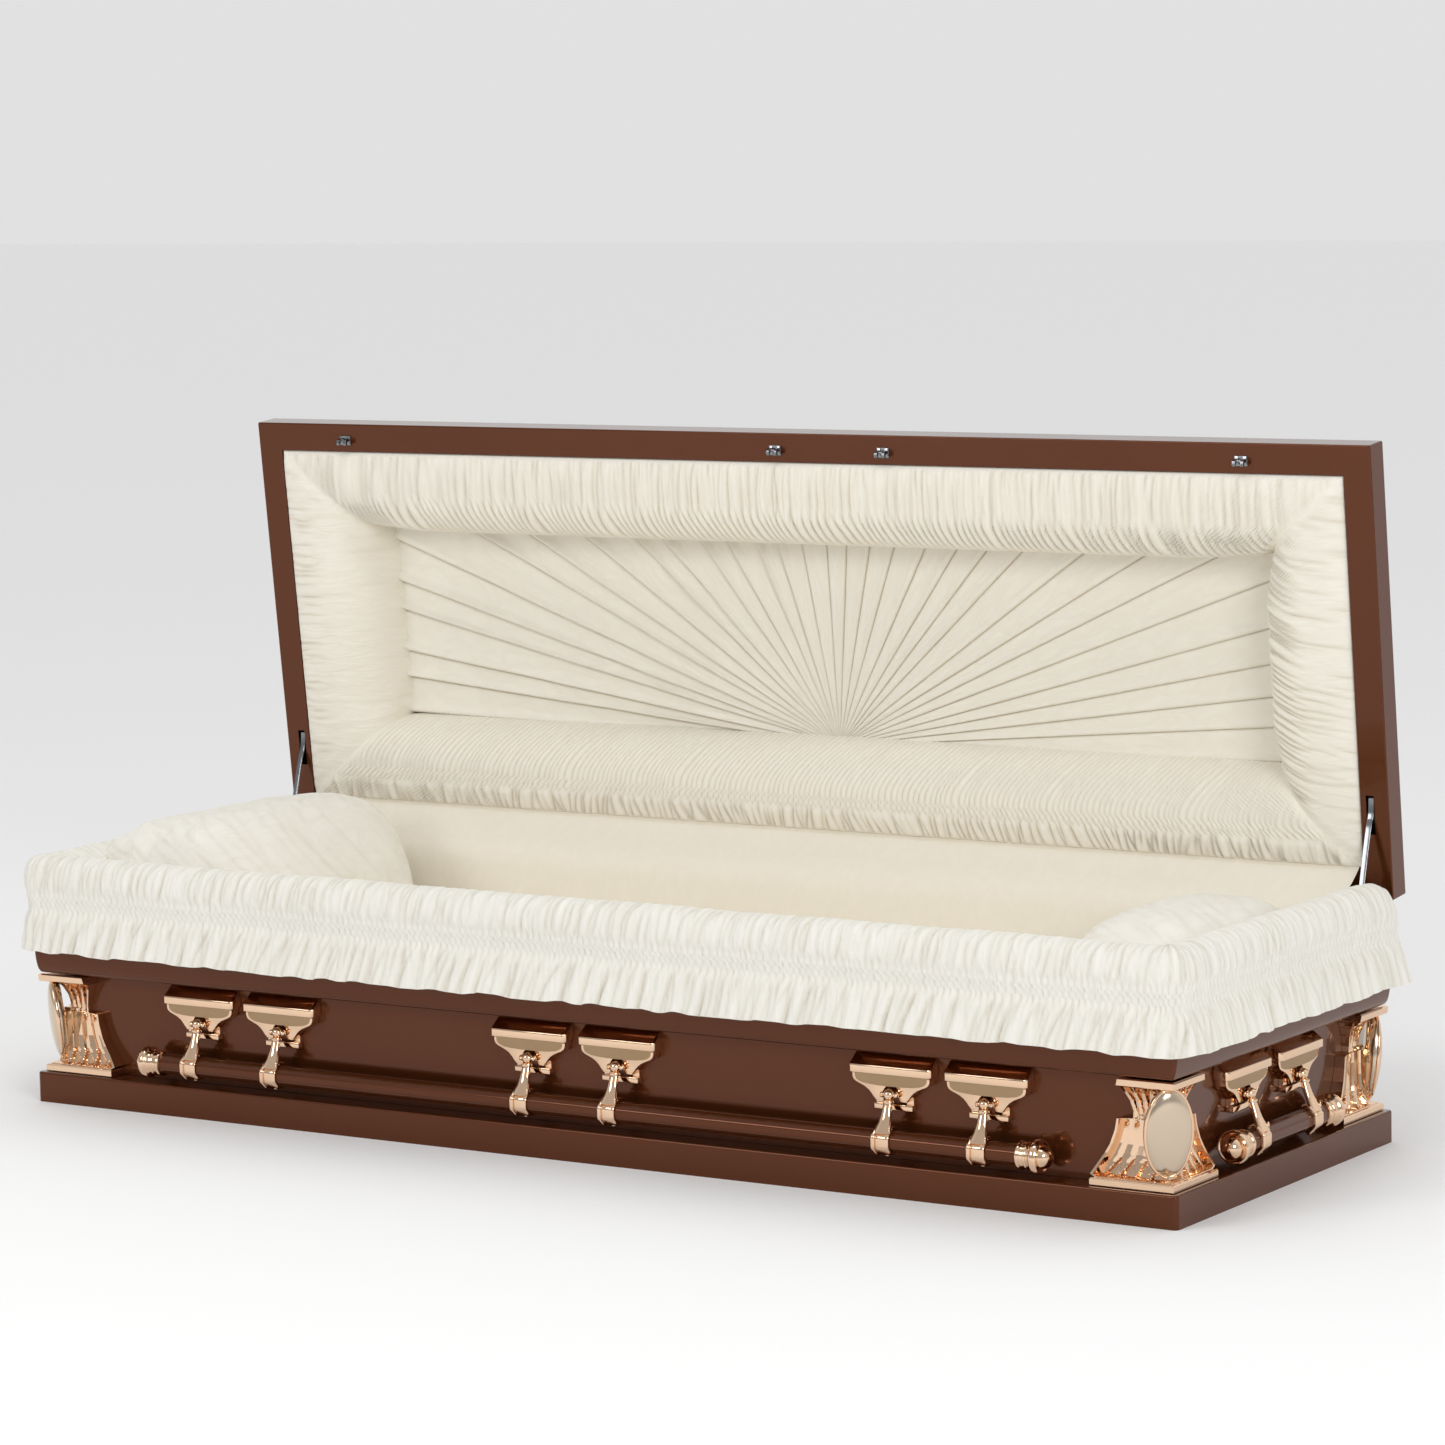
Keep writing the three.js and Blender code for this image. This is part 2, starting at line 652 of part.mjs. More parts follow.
// Where a ray from the middle of the panel's hinge-side edge meets the panel's outline.
function panelEdge(angle, halfX, height) {
  const reachX = halfX / Math.max(Math.abs(Math.cos(angle)), 1e-6);
  const reachY = height / Math.max(Math.sin(angle), 1e-6);
  const reach = Math.min(reachX, reachY);
  return [reach * Math.cos(angle), reach * Math.sin(angle)];
}

function lidPanel() {
  const halfX = HALF_X - PANEL_INSET_X;
  const height = WIDTH - 2 * PANEL_INSET_Y;
  const hingeEdge = HALF_Y - PANEL_INSET_Y;
  const front = [];
  const back = [];
  const face = (along, up, depth) => new THREE.Vector3(along, hingeEdge - up, depth).add(lidShift);
  const backDepth = PANEL_DEPTH + 3 * PLEAT_DEPTH;
  pleatAngles(halfX, height).forEach((angle, i) => {
    const [along, up] = panelEdge(angle, halfX, height);
    front.push(face(along, up, PANEL_DEPTH + PLEAT_DEPTH * (i % 2)));
    back.push(face(along, up, backDepth));
  });
  const points = [...front, ...back, face(0, 0, PANEL_DEPTH), face(0, 0, backDepth)];
  const count = front.length;
  const triangles = [];
  for (let i = 0; i < count - 1; i += 1) {
    triangles.push([2 * count, i, i + 1], [2 * count + 1, count + i + 1, count + i]);
    triangles.push([i, count + i, count + i + 1], [i, count + i + 1, i + 1]);
  }
  const last = count - 1;
  triangles.push([2 * count, count, 0], [2 * count, 2 * count + 1, count]);
  triangles.push([2 * count, last, count + last], [2 * count, count + last, 2 * count + 1]);
  return closedMesh(points, triangles);
}

// Latch hook under the lid's front flange.
function latchHook(x) {
  const back = -HINGE_Y - HALF_Y + HOOK_INSET;
  const low = lidShift.z;
  const outline = [
    [back - 7, low - GAP], [back + 7, low - GAP], [back + 7, low - 4], [back + 3, low - 4],
    [back + 3, low - 15], [back - 6, low - 15], [back - 6, low - 11], [back - 1, low - 11],
    [back - 1, low - 4], [back - 7, low - 4],
  ];
  return prism(outline, alongX, x - HOOK_HALF, x + HOOK_HALF);
}

// Stay: a flat bar from its pivot in the lid's slot down into the slot in the rim's flange.
function stay(x) {
  const pivotDepth = 6;
  const lidUp = LID_OPEN - STAY_LEAN;
  const along = new THREE.Vector2(Math.sin(lidUp), -Math.cos(lidUp));
  const across = new THREE.Vector2(along.y, -along.x);
  const pivot = new THREE.Vector2(-STAY_PIVOT, lidShift.z + pivotDepth);
  const corner = (far, side) => [
    pivot.x + along.x * far + across.x * side,
    pivot.y + along.y * far + across.y * side,
  ];
  const half = STAY_THICK / 2;
  const outline = [
    corner(-4, -half), corner(STAY_LENGTH, -half), corner(STAY_LENGTH, half), corner(-4, half),
  ];
  return prism(outline, alongX, x - STAY_WIDTH / 2, x + STAY_WIDTH / 2);
}

addPiece(casket, 'base_pan', basePan(), brown);
addPiece(casket, 'body_panels', bodyPanels(), brown);
addPiece(casket, 'rim_moulding', rimMoulding(), brown);

const CORNERS = [
  ['front_left', -HALF_X, -HALF_Y, 0],
  ['front_right', HALF_X, -HALF_Y, Math.PI / 2],
  ['back_right', HALF_X, HALF_Y, Math.PI],
  ['back_left', -HALF_X, HALF_Y, -Math.PI / 2],
];
for (const [name, x, y, turn] of CORNERS) {
  const corner = new THREE.Group();
  corner.position.set(x, y, 0);
  corner.rotation.z = turn;
  addPiece(corner, `corner_${name}`, cornerCasting(), roseGold);
  casket.add(corner);
}

addSide('front', LONG_EAR_X, LONG_BAR_HALF, 0, -HALF_Y, 0);
addSide('foot_end', END_EAR_X, END_BAR_HALF, HALF_X, 0, Math.PI / 2);
addSide('back', LONG_EAR_X, LONG_BAR_HALF, 0, HALF_Y, Math.PI);
addSide('head_end', END_EAR_X, END_BAR_HALF, -HALF_X, 0, -Math.PI / 2);

addPiece(casket, 'body_lining', bodyLining(), cloth);
addPiece(casket, 'mattress', mattress(), cloth);
const cushionFloor = MATTRESS_TOP + GAP;
addPiece(casket, 'pillow', cushion([...PILLOW.low, cushionFloor], [...PILLOW.high, PILLOW.top]), cloth);
addPiece(casket, 'foot_cushion', cushion(
  [...FOOT_CUSHION.low, cushionFloor], [...FOOT_CUSHION.high, FOOT_CUSHION.top],
), cloth);
addPiece(casket, 'apron', apron(), cloth);
addPiece(casket, 'hinge_cover', hingeCover(), cloth);

const bodyLeaf = new THREE.Group();
bodyLeaf.position.set(0, HINGE_Y, HINGE_Z);
addPiece(bodyLeaf, 'hinge_leaf_body', hingeLeaf(0, -32, -5), brown);
casket.add(bodyLeaf);

addPiece(lidGroup, 'lid_shell', lidShell(), brown);
addPiece(lidGroup, 'lid_roll', lidRoll(), lidCloth);
addPiece(lidGroup, 'lid_panel', lidPanel(), lidCloth);
addPiece(lidGroup, 'hinge_leaf_lid', hingeLeaf(1, 5, 32), brown);
HOOK_X.forEach((x, i) => addPiece(lidGroup, `latch_hook_${i + 1}`, latchHook(x), chrome));
addPiece(lidGroup, 'stay_head', stay(-STAY_X), chrome);
addPiece(lidGroup, 'stay_foot', stay(STAY_X), chrome);
casket.add(lidGroup);

export default casket;
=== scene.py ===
import math

import bmesh
import bpy
import numpy as np
from mathutils import Matrix, Vector


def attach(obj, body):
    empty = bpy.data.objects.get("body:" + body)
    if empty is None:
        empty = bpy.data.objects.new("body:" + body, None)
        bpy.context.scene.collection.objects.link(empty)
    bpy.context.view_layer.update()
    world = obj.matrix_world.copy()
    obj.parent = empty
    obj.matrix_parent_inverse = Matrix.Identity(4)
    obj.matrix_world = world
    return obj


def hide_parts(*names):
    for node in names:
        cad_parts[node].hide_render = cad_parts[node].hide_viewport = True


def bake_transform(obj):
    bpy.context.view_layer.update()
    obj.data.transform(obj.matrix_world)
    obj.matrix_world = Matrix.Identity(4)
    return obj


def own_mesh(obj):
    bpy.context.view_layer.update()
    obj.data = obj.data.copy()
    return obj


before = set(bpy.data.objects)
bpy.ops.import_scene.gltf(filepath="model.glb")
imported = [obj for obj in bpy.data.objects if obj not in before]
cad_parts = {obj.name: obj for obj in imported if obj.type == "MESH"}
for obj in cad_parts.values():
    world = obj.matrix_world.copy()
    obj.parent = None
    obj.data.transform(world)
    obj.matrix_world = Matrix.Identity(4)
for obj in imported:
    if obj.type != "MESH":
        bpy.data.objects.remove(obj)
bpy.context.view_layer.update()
scene = bpy.context.scene

# All shapes below are worked out in millimetres and scaled once, in addPiece.
casket = {
    "halfX": 1060, "halfY": 354, "edge": 8, "wall": 44, "sheet": 1.2,
    "hingeY": 358, "hingeZ": 370, "lidLow": 371.5, "openAngle": math.radians(84.2),
}
halfX, halfY, sheet = casket["halfX"], casket["halfY"], casket["sheet"]


# Camera, floor and light

photoView = {
    "place": (4.480357, -6.755153, 1.631488), "yaw": 0.578075946, "pitch": 0.121881107,
    "roll": -0.0220573892, "lens": 128.69,
}


def setCamera():
    yaw, pitch, roll = photoView["yaw"], photoView["pitch"], photoView["roll"]
    ahead = Vector((-math.sin(yaw) * math.cos(pitch), math.cos(yaw) * math.cos(pitch), -math.sin(pitch)))
    right = Vector((math.cos(yaw), math.sin(yaw), 0))
    up = right.cross(ahead)
    across = right * math.cos(roll) + up * math.sin(roll)
    upright = up * math.cos(roll) - right * math.sin(roll)
    turn = Matrix((across, upright, -ahead)).transposed().to_4x4()
    camera = bpy.data.objects.new("camera", bpy.data.cameras.new("camera"))
    camera.data.lens = photoView["lens"]
    camera.data.sensor_width = 36
    camera.data.clip_end = 200
    camera.matrix_world = Matrix.Translation(photoView["place"]) @ turn
    scene.collection.objects.link(camera)
    scene.camera = camera


def addNode(tree, kind, inputs=(), **settings):
    made = tree.nodes.new(kind)
    for key, value in settings.items():
        setattr(made, key, value)
    for key, value in dict(inputs).items():
        if isinstance(value, bpy.types.NodeSocket):
            tree.links.new(value, made.inputs[key])
        else:
            made.inputs[key].default_value = value
    return made


studio = {
    "skyTop": (1.0, 1.0, 1.0), "skySide": (0.752, 0.752, 0.752), "skyLow": (0.75, 0.75, 0.75), "sky": 1.0,
    "front": 0.55,  # share of the sky's light that is left behind the camera
    "floor": (0.97, 0.97, 0.97),
    "lamps": [  # place, aim, width, height, watts
        ((-3.0, -6.0, 3.2), (0, 0.2, 0.6), 2.6, 2.0, 78),
        ((5.6, -4.6, 2.8), (0.3, 0.2, 0.5), 2.2, 2.0, 126),
        ((0.2, -1.6, 4.8), (0, 0, 0.3), 3.0, 1.2, 30),
    ],
}


def setStudio():
    world = bpy.data.worlds.new("studio")
    world.use_nodes = True
    tree = world.node_tree
    tree.nodes.clear()
    where = addNode(tree, "ShaderNodeTexCoord")
    parts = addNode(tree, "ShaderNodeSeparateXYZ", {"Vector": where.outputs["Generated"]})
    level = addNode(tree, "ShaderNodeMapRange", {0: parts.outputs["Z"], 1: -0.6, 2: 0.9})
    ramp = addNode(tree, "ShaderNodeValToRGB", {"Fac": level.outputs[0]})
    stops = ramp.color_ramp.elements
    stops[0].color = (*studio["skyLow"], 1)
    stops[1].color = (*studio["skyTop"], 1)
    middle = stops.new(0.42)
    middle.color = (*studio["skySide"], 1)
    front = addNode(tree, "ShaderNodeMapRange", {
        0: parts.outputs["Y"], 1: -0.5, 2: 0.35, 3: studio["sky"] * studio["front"], 4: studio["sky"]})
    back = addNode(tree, "ShaderNodeBackground", {
        "Color": ramp.outputs["Color"], "Strength": front.outputs[0]})
    addNode(tree, "ShaderNodeOutputWorld", {"Surface": back.outputs["Background"]})
    scene.world = world
    for i, (place, aim, wide, high, watts) in enumerate(studio["lamps"]):
        lamp = bpy.data.lights.new(f"softbox{i + 1}", "AREA")
        lamp.shape = "RECTANGLE"
        lamp.size, lamp.size_y, lamp.energy = wide, high, watts
        holder = bpy.data.objects.new(lamp.name, lamp)
        holder.location = place
        holder.rotation_euler = (Vector(aim) - Vector(place)).to_track_quat("-Z", "Y").to_euler()
        scene.collection.objects.link(holder)
    mesh = bpy.data.meshes.new("floor")
    mesh.from_pydata([(-40, -40, 0), (40, -40, 0), (40, 40, 0), (-40, 40, 0)], [], [(0, 1, 2, 3)])
    floor = bpy.data.objects.new("floor", mesh)
    paper = bpy.data.materials.new("floorPaper")
    paper.use_nodes = True
    tone = paper.node_tree.nodes["Principled BSDF"]
    tone.inputs["Base Color"].default_value = (*studio["floor"], 1)
    tone.inputs["Roughness"].default_value = 0.9
    mesh.materials.append(paper)
    scene.collection.objects.link(floor)
    scene.view_settings.view_transform = "Standard"


setCamera()
setStudio()
print("camera, floor and light set")


# Finishes

def newGroup(name, inputs, outputs):
    group = bpy.data.node_groups.new(name, "ShaderNodeTree")
    for label, kind, value in inputs:
        socket = group.interface.new_socket(label, in_out="INPUT", socket_type=kind)
        if value is not None:
            socket.default_value = value
    for label in outputs:
        group.interface.new_socket(label, in_out="OUTPUT", socket_type="NodeSocketFloat")
    return group, addNode(group, "NodeGroupInput"), addNode(group, "NodeGroupOutput")


def math2(tree, operation, first, second):
    return addNode(tree, "ShaderNodeMath", {0: first, 1: second}, operation=operation).outputs[0]


def makeGrain():  # slow drift of tone and a fine ripple, for paint and plated castings
    group, into, out = newGroup(
        "surfaceGrain",
        [("Vector", "NodeSocketVector", None), ("Drift", "NodeSocketFloat", 3.0),
         ("Ripple", "NodeSocketFloat", 180.0)],
        ["Tone", "Height"],
    )
    drift = addNode(group, "ShaderNodeTexNoise", {
        "Vector": into.outputs["Vector"], "Scale": into.outputs["Drift"], "Detail": 4, "Roughness": 0.55})
    ripple = addNode(group, "ShaderNodeTexNoise", {
        "Vector": into.outputs["Vector"], "Scale": into.outputs["Ripple"], "Detail": 2})
    group.links.new(drift.outputs[0], out.inputs["Tone"])
    group.links.new(ripple.outputs[0], out.inputs["Height"])
    return group


def makeCrepe():  # crinkled crepe, its creases stretched across the gathers; its Tone carries painted shade in the creases
    group, into, out = newGroup(
        "crepeCloth",
        [("Vector", "NodeSocketVector", None), ("Crinkle", "NodeSocketFloat", 150.0),
         ("Thread", "NodeSocketFloat", 900.0), ("Stretch", "NodeSocketFloat", 0.35)],
        ["Tone", "Height"],
    )
    long = addNode(group, "ShaderNodeCombineXYZ", {"X": 1.0, "Y": into.outputs["Stretch"], "Z": 1.0})
    laid = addNode(group, "ShaderNodeVectorMath", {0: into.outputs["Vector"], 1: long.outputs[0]},
                   operation="MULTIPLY")
    crinkle = addNode(group, "ShaderNodeTexNoise", {
        "Vector": laid.outputs[0], "Scale": into.outputs["Crinkle"], "Detail": 3, "Roughness": 0.5,
        "Distortion": 0.5})
    away = addNode(group, "ShaderNodeMath", {0: math2(group, "SUBTRACT", crinkle.outputs[0], 0.5)},
                   operation="ABSOLUTE")
    crease = math2(group, "MINIMUM", math2(group, "MULTIPLY", away.outputs[0], 7.0), 1.0)
    thread = addNode(group, "ShaderNodeTexNoise", {
        "Vector": into.outputs["Vector"], "Scale": into.outputs["Thread"], "Detail": 1})
    broad = addNode(group, "ShaderNodeTexNoise", {
        "Vector": into.outputs["Vector"], "Scale": 9.0, "Detail": 3})
    height = math2(group, "ADD", math2(group, "MULTIPLY", crease, 0.85),
                   math2(group, "MULTIPLY", thread.outputs[0], 0.15))
    # Tone: random broad tone plus painted shade, darker along the crinkle creases
    tone = math2(group, "ADD", math2(group, "MULTIPLY", broad.outputs[0], 0.6),
                 math2(group, "MULTIPLY", crease, 0.4))
    group.links.new(height, out.inputs["Height"])
    group.links.new(tone, out.inputs["Tone"])
    return group


grain = makeGrain()
crepe = makeCrepe()


def finish(name, group, groupInputs, dark, light, rough, bump, depth, coords="Object", paintedShadeColour=None, **fixed):
    material = bpy.data.materials.new(name)
    material.use_nodes = True
    tree = material.node_tree
    shader = tree.nodes["Principled BSDF"]
    where = addNode(tree, "ShaderNodeTexCoord")
    effect = addNode(tree, "ShaderNodeGroup", node_tree=group)
    tree.links.new(where.outputs[coords], effect.inputs["Vector"])
    for key, value in groupInputs.items():
        effect.inputs[key].default_value = value
    # base colour from dark to light by Tone; for the crepe cloths the dark end also serves as painted shade
    # in the creases
    blend = addNode(tree, "ShaderNodeMix", {0: effect.outputs["Tone"]}, data_type="RGBA")
    blend.inputs[6].default_value = (*dark, 1)
    blend.inputs[7].default_value = (*light, 1)
    colour = blend.outputs[2]
    if paintedShadeColour:  # painted shade: the cloth's colour is drawn towards a darker shade colour where the per-point fold-shade attribute marks a fold
        fold = addNode(tree, "ShaderNodeAttribute", attribute_name="fold")
        paintedShadeMix = addNode(tree, "ShaderNodeMix", {0: fold.outputs["Fac"]}, data_type="RGBA")
        paintedShadeMix.inputs[6].default_value = (*paintedShadeColour, 1)
        tree.links.new(colour, paintedShadeMix.inputs[7])
        colour = paintedShadeMix.outputs[2]
    tree.links.new(colour, shader.inputs["Base Color"])
    spread = addNode(tree, "ShaderNodeMapRange", {0: effect.outputs["Tone"], 3: rough[0], 4: rough[1]})
    tree.links.new(spread.outputs[0], shader.inputs["Roughness"])
    relief = addNode(tree, "ShaderNodeBump", {
        "Height": effect.outputs["Height"], "Strength": bump, "Distance": depth})
    tree.links.new(relief.outputs[0], shader.inputs["Normal"])
    for key, value in fixed.items():
        shader.inputs[key.replace("_", " ")].default_value = value
    return material


brownPaint = finish(
    "brownPaint", grain, {"Drift": 2.2, "Ripple": 420}, (0.098, 0.0265, 0.0076), (0.119, 0.0335, 0.0102),
    (0.14, 0.2),
    0.012, 0.0004, Metallic=0.5, Coat_Weight=0.7, Coat_Roughness=0.015, Coat_IOR=1.32, Specular_IOR_Level=0.1)
roseGold = finish(
    "roseGold", grain, {"Drift": 7, "Ripple": 260}, (0.80, 0.55, 0.37), (0.90, 0.645, 0.455), (0.05, 0.11),
    0.02, 0.0005, Metallic=1.0)
satinSilver = finish(
    "satinSilver", grain, {"Drift": 9, "Ripple": 900}, (0.62, 0.50, 0.375), (0.72, 0.60, 0.47), (0.14, 0.2),
    0.06, 0.0003, Metallic=1.0)
chrome = finish(
    "chrome", grain, {"Drift": 12, "Ripple": 500}, (0.17, 0.175, 0.185), (0.34, 0.35, 0.37), (0.12, 0.24),
    0.04, 0.0003, Metallic=1.0)
# near-black finish: painted shadow for the dark inside the stay slots
slotBlack = finish(
    "slotBlack", grain, {"Drift": 9, "Ripple": 500}, (0.006, 0.006, 0.006), (0.014, 0.013, 0.012),
    (0.35, 0.5), 0.05, 0.0003)
apronCloth = finish(
    "apronCloth", crepe, {"Crinkle": 75, "Thread": 900, "Stretch": 0.2}, (0.83, 0.81, 0.735),
    (0.89, 0.875, 0.815),
    (0.8, 0.95), 0.55, 0.0016, coords="UV", paintedShadeColour=(0.60, 0.55, 0.44), Sheen_Weight=0.1, Sheen_Roughness=0.5)
lidCloth = finish(
    "lidCloth", crepe, {"Crinkle": 70, "Thread": 900, "Stretch": 0.2}, (0.84, 0.795, 0.695),
    (0.90, 0.865, 0.775),
    (0.8, 0.95), 0.45, 0.0012, coords="UV", paintedShadeColour=(0.55, 0.46, 0.33), Sheen_Weight=0.1, Sheen_Roughness=0.5)
smoothCloth = finish(
    "smoothCloth", crepe, {"Crinkle": 40, "Thread": 1100, "Stretch": 0.8}, (0.83, 0.775, 0.66),
    (0.87, 0.82, 0.71),
    (0.75, 0.9), 0.12, 0.0008, coords="UV", paintedShadeColour=(0.62, 0.54, 0.42), Sheen_Weight=0.1, Sheen_Roughness=0.5)
pillowCloth = finish(
    "pillowCloth", crepe, {"Crinkle": 26, "Thread": 900, "Stretch": 0.5}, (0.83, 0.80, 0.72),
    (0.89, 0.87, 0.80),
    (0.8, 0.95), 0.5, 0.002, paintedShadeColour=(0.62, 0.56, 0.45), Sheen_Weight=0.1, Sheen_Roughness=0.5)
earField = finish(
    "earField", grain, {"Drift": 9, "Ripple": 700}, (0.34, 0.225, 0.125), (0.43, 0.295, 0.175), (0.26, 0.36),
    0.05, 0.0003, Metallic=1.0)
print("finishes made")


# Mesh helpers

def addPiece(name, points, faces, material, uv=None, fold=None):
    mesh = bpy.data.meshes.new(name)
    mesh.from_pydata((np.asarray(points, float) * 0.001).tolist(), [], faces)
    mesh.materials.append(material)
    mesh.shade_smooth()
    if uv is not None:
        layer = mesh.uv_layers.new(name="cloth")
        corner = np.empty(len(mesh.loops), np.int32)
        mesh.loops.foreach_get("vertex_index", corner)
        layer.data.foreach_set("uv", np.asarray(uv, np.float32).reshape(-1, 2)[corner].ravel())
        # painted shade per point: 1 on the flats, lower where the cloth lies in a fold
        depth = np.ones(len(mesh.vertices)) if fold is None else np.clip(np.asarray(fold).ravel(), 0, 1)
        mesh.attributes.new("fold", "FLOAT", "POINT").data.foreach_set("value", depth.astype(np.float32))
    made = bpy.data.objects.new(name, mesh)
    scene.collection.objects.link(made)
    return made


def gridFaces(rows, columns, wrapRows=False, wrapColumns=False):
    r = np.arange(rows if wrapRows else rows - 1)
    c = np.arange(columns if wrapColumns else columns - 1)
    r, c = np.meshgrid(r, c, indexing="ij")
    up, on = (r + 1) % rows, (c + 1) % columns
    quads = np.stack([r * columns + c, r * columns + on, up * columns + on, up * columns + c], -1)
    return quads.reshape(-1, 4).tolist()


def loft(rings, wrapRows=False):  # rings of equally many points, capped unless they close on themselves
    rings = np.asarray(rings, float)
    rows, columns = rings.shape[:2]
    faces = gridFaces(rows, columns, wrapRows, True)
    if not wrapRows:
        faces.append(list(range(columns))[::-1])
        faces.append(list(range((rows - 1) * columns, rows * columns)))
    return rings.reshape(-1, 3), faces


def gather(*solids):
    points, faces, start = [], [], 0
    for solidPoints, solidFaces in solids:
        points.append(np.asarray(solidPoints, float))
        faces += [[i + start for i in face] for face in solidFaces]
        start += len(solidPoints)
    return np.concatenate(points), faces


def bevelled(solid, size, segments=2, angle=25):
    points, faces = solid
    work = bmesh.new()
    corners = [work.verts.new(p) for p in np.asarray(points, float)]
    for face in faces:
        work.faces.new([corners[i] for i in face])
    bmesh.ops.recalc_face_normals(work, faces=work.faces)
    sharp = [e for e in work.edges if len(e.link_faces) == 2 and e.calc_face_angle() > math.radians(angle)]
    bmesh.ops.bevel(work, geom=sharp, offset=size, segments=segments, profile=0.5, affect="EDGES",
                    clamp_overlap=True)
    work.verts.index_update()
    result = np.array([v.co for v in work.verts]), [[v.index for v in f.verts] for f in work.faces]
    work.free()
    return result


def turnOut(piece):  # closed solids: faces outwards
    work = bmesh.new()
    work.from_mesh(piece.data)
    bmesh.ops.recalc_face_normals(work, faces=work.faces)
    work.to_mesh(piece.data)
    work.free()
    return piece


def faceTowards(piece, direction):  # open sheets: faces towards a direction
    mesh = piece.data
    total = Vector()
    for face in mesh.polygons:
        total += face.normal * face.area
    if total.dot(Vector(direction)) < 0:
        mesh.flip_normals()
    return piece


def evenShade(piece, angle=35):  # large flats keep their own normals beside small rounded edges
    piece.data.set_sharp_from_angle(angle=math.radians(angle))
    weigh = piece.modifiers.new("flats", "WEIGHTED_NORMAL")
    weigh.keep_sharp = True
    weigh.weight = 60
    return piece


def baked(piece):  # modifiers turned into plain mesh
    bpy.context.view_layer.update()
    graph = bpy.context.evaluated_depsgraph_get()
    mesh = bpy.data.meshes.new_from_object(piece.evaluated_get(graph), preserve_all_data_layers=True,
                                           depsgraph=graph)
    mesh.name = piece.name
    piece.modifiers.clear()
    piece.data = mesh
    return piece


def settle(piece, body, slot, *nodes):
    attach(piece, body)
    if nodes:
        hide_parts(*nodes)
    return piece


def softProfile(corners, steps=5):  # rows of (inset, height, fillet)
    points = []
    for i, (inset, height, fillet) in enumerate(corners):
        here = np.array([inset, height], float)
        if fillet == 0 or i in (0, len(corners) - 1):
            points.append(here)
            continue
        back = np.array(corners[i - 1][:2], float) - here
        on = np.array(corners[i + 1][:2], float) - here
        start = here + back * min(fillet / np.linalg.norm(back), 0.48)
        end = here + on * min(fillet / np.linalg.norm(on), 0.48)
        for t in np.linspace(0, 1, steps + 1):
            points.append((1 - t) ** 2 * start + 2 * t * (1 - t) * here + t ** 2 * end)
    return np.array(points)


def boxRing(insetX, insetY, z, radius=None, steps=6):
    corner = max(casket["edge"] - min(insetX, insetY), 2.0) if radius is None else radius
    ring = []
    for quarter, (signX, signY) in enumerate([(1, 1), (-1, 1), (-1, -1), (1, -1)]):
        for share in np.linspace(0, 1, steps + 1):
            angle = (quarter + share) * math.pi / 2
            ring.append((signX * (halfX - insetX - corner) + corner * math.cos(angle),
                         signY * (halfY - insetY - corner) + corner * math.sin(angle), z))
    return ring


def curveThrough(points, count):  # smooth line through a few points, evenly spaced
    points = np.asarray(points, float)
    padded = np.concatenate([2 * points[:1] - points[1:2], points, 2 * points[-1:] - points[-2:-1]])
    fine = []
    for i in range(len(points) - 1):
        a, b, c, d = padded[i:i + 4]
        t = np.linspace(0, 1, 40, endpoint=False)[:, None]
        fine.append(0.5 * (2 * b + (c - a) * t + (2 * a - 5 * b + 4 * c - d) * t ** 2
                           + (3 * b - a - 3 * c + d) * t ** 3))
    fine = np.concatenate(fine + [points[-1:]])
    steps = np.concatenate([[0], np.cumsum(np.linalg.norm(np.diff(fine, axis=0), axis=1))])
    at = np.linspace(0, steps[-1], count)
    return np.stack([np.interp(at, steps, fine[:, k]) for k in range(fine.shape[1])], 1)


def lidPlace(x, v, depth):  # v from the hinge edge along the flange, depth behind it, at the open angle
    c, s = math.cos(casket["openAngle"]), math.sin(casket["openAngle"])
    along = -(np.asarray(v, float) + casket["hingeY"] - halfY)
    behind = np.asarray(depth, float) + casket["lidLow"] - casket["hingeZ"]
    y = casket["hingeY"] + along * c + behind * s
    z = casket["hingeZ"] - along * s + behind * c
    return np.stack(np.broadcast_arrays(np.asarray(x, float), y, z), -1)


def smoothNoise(u, v, stepU, stepV, seed):  # 0 to 1, smooth, repeatable
    table = np.random.default_rng(seed).random((257, 257))
    a, b = np.broadcast_arrays(np.asarray(u, float) / stepU, np.asarray(v, float) / stepV)
    i, j = np.floor(a).astype(int), np.floor(b).astype(int)
    p, q = a - i, b - j
    p, q = p * p * (3 - 2 * p), q * q * (3 - 2 * q)
    i0, j0, i1, j1 = i % 257, j % 257, (i + 1) % 257, (j + 1) % 257
    low = table[i0, j0] * (1 - p) + table[i1, j0] * p
    high = table[i0, j1] * (1 - p) + table[i1, j1] * p
    return low * (1 - q) + high * q


def foldWave(along, across, spacing, wander, seed, sharp=0.75):  # rounded ridges with narrow valleys, 0 to 1
    drift = (smoothNoise(along, across, spacing * 2.7, 60, seed) - 0.5) * 2 * wander
    drift = drift + (smoothNoise(along, 0, spacing * 6, 1, seed + 1) - 0.5) * 3 * wander
    return np.abs(np.sin(np.pi * (along / spacing + drift))) ** sharp


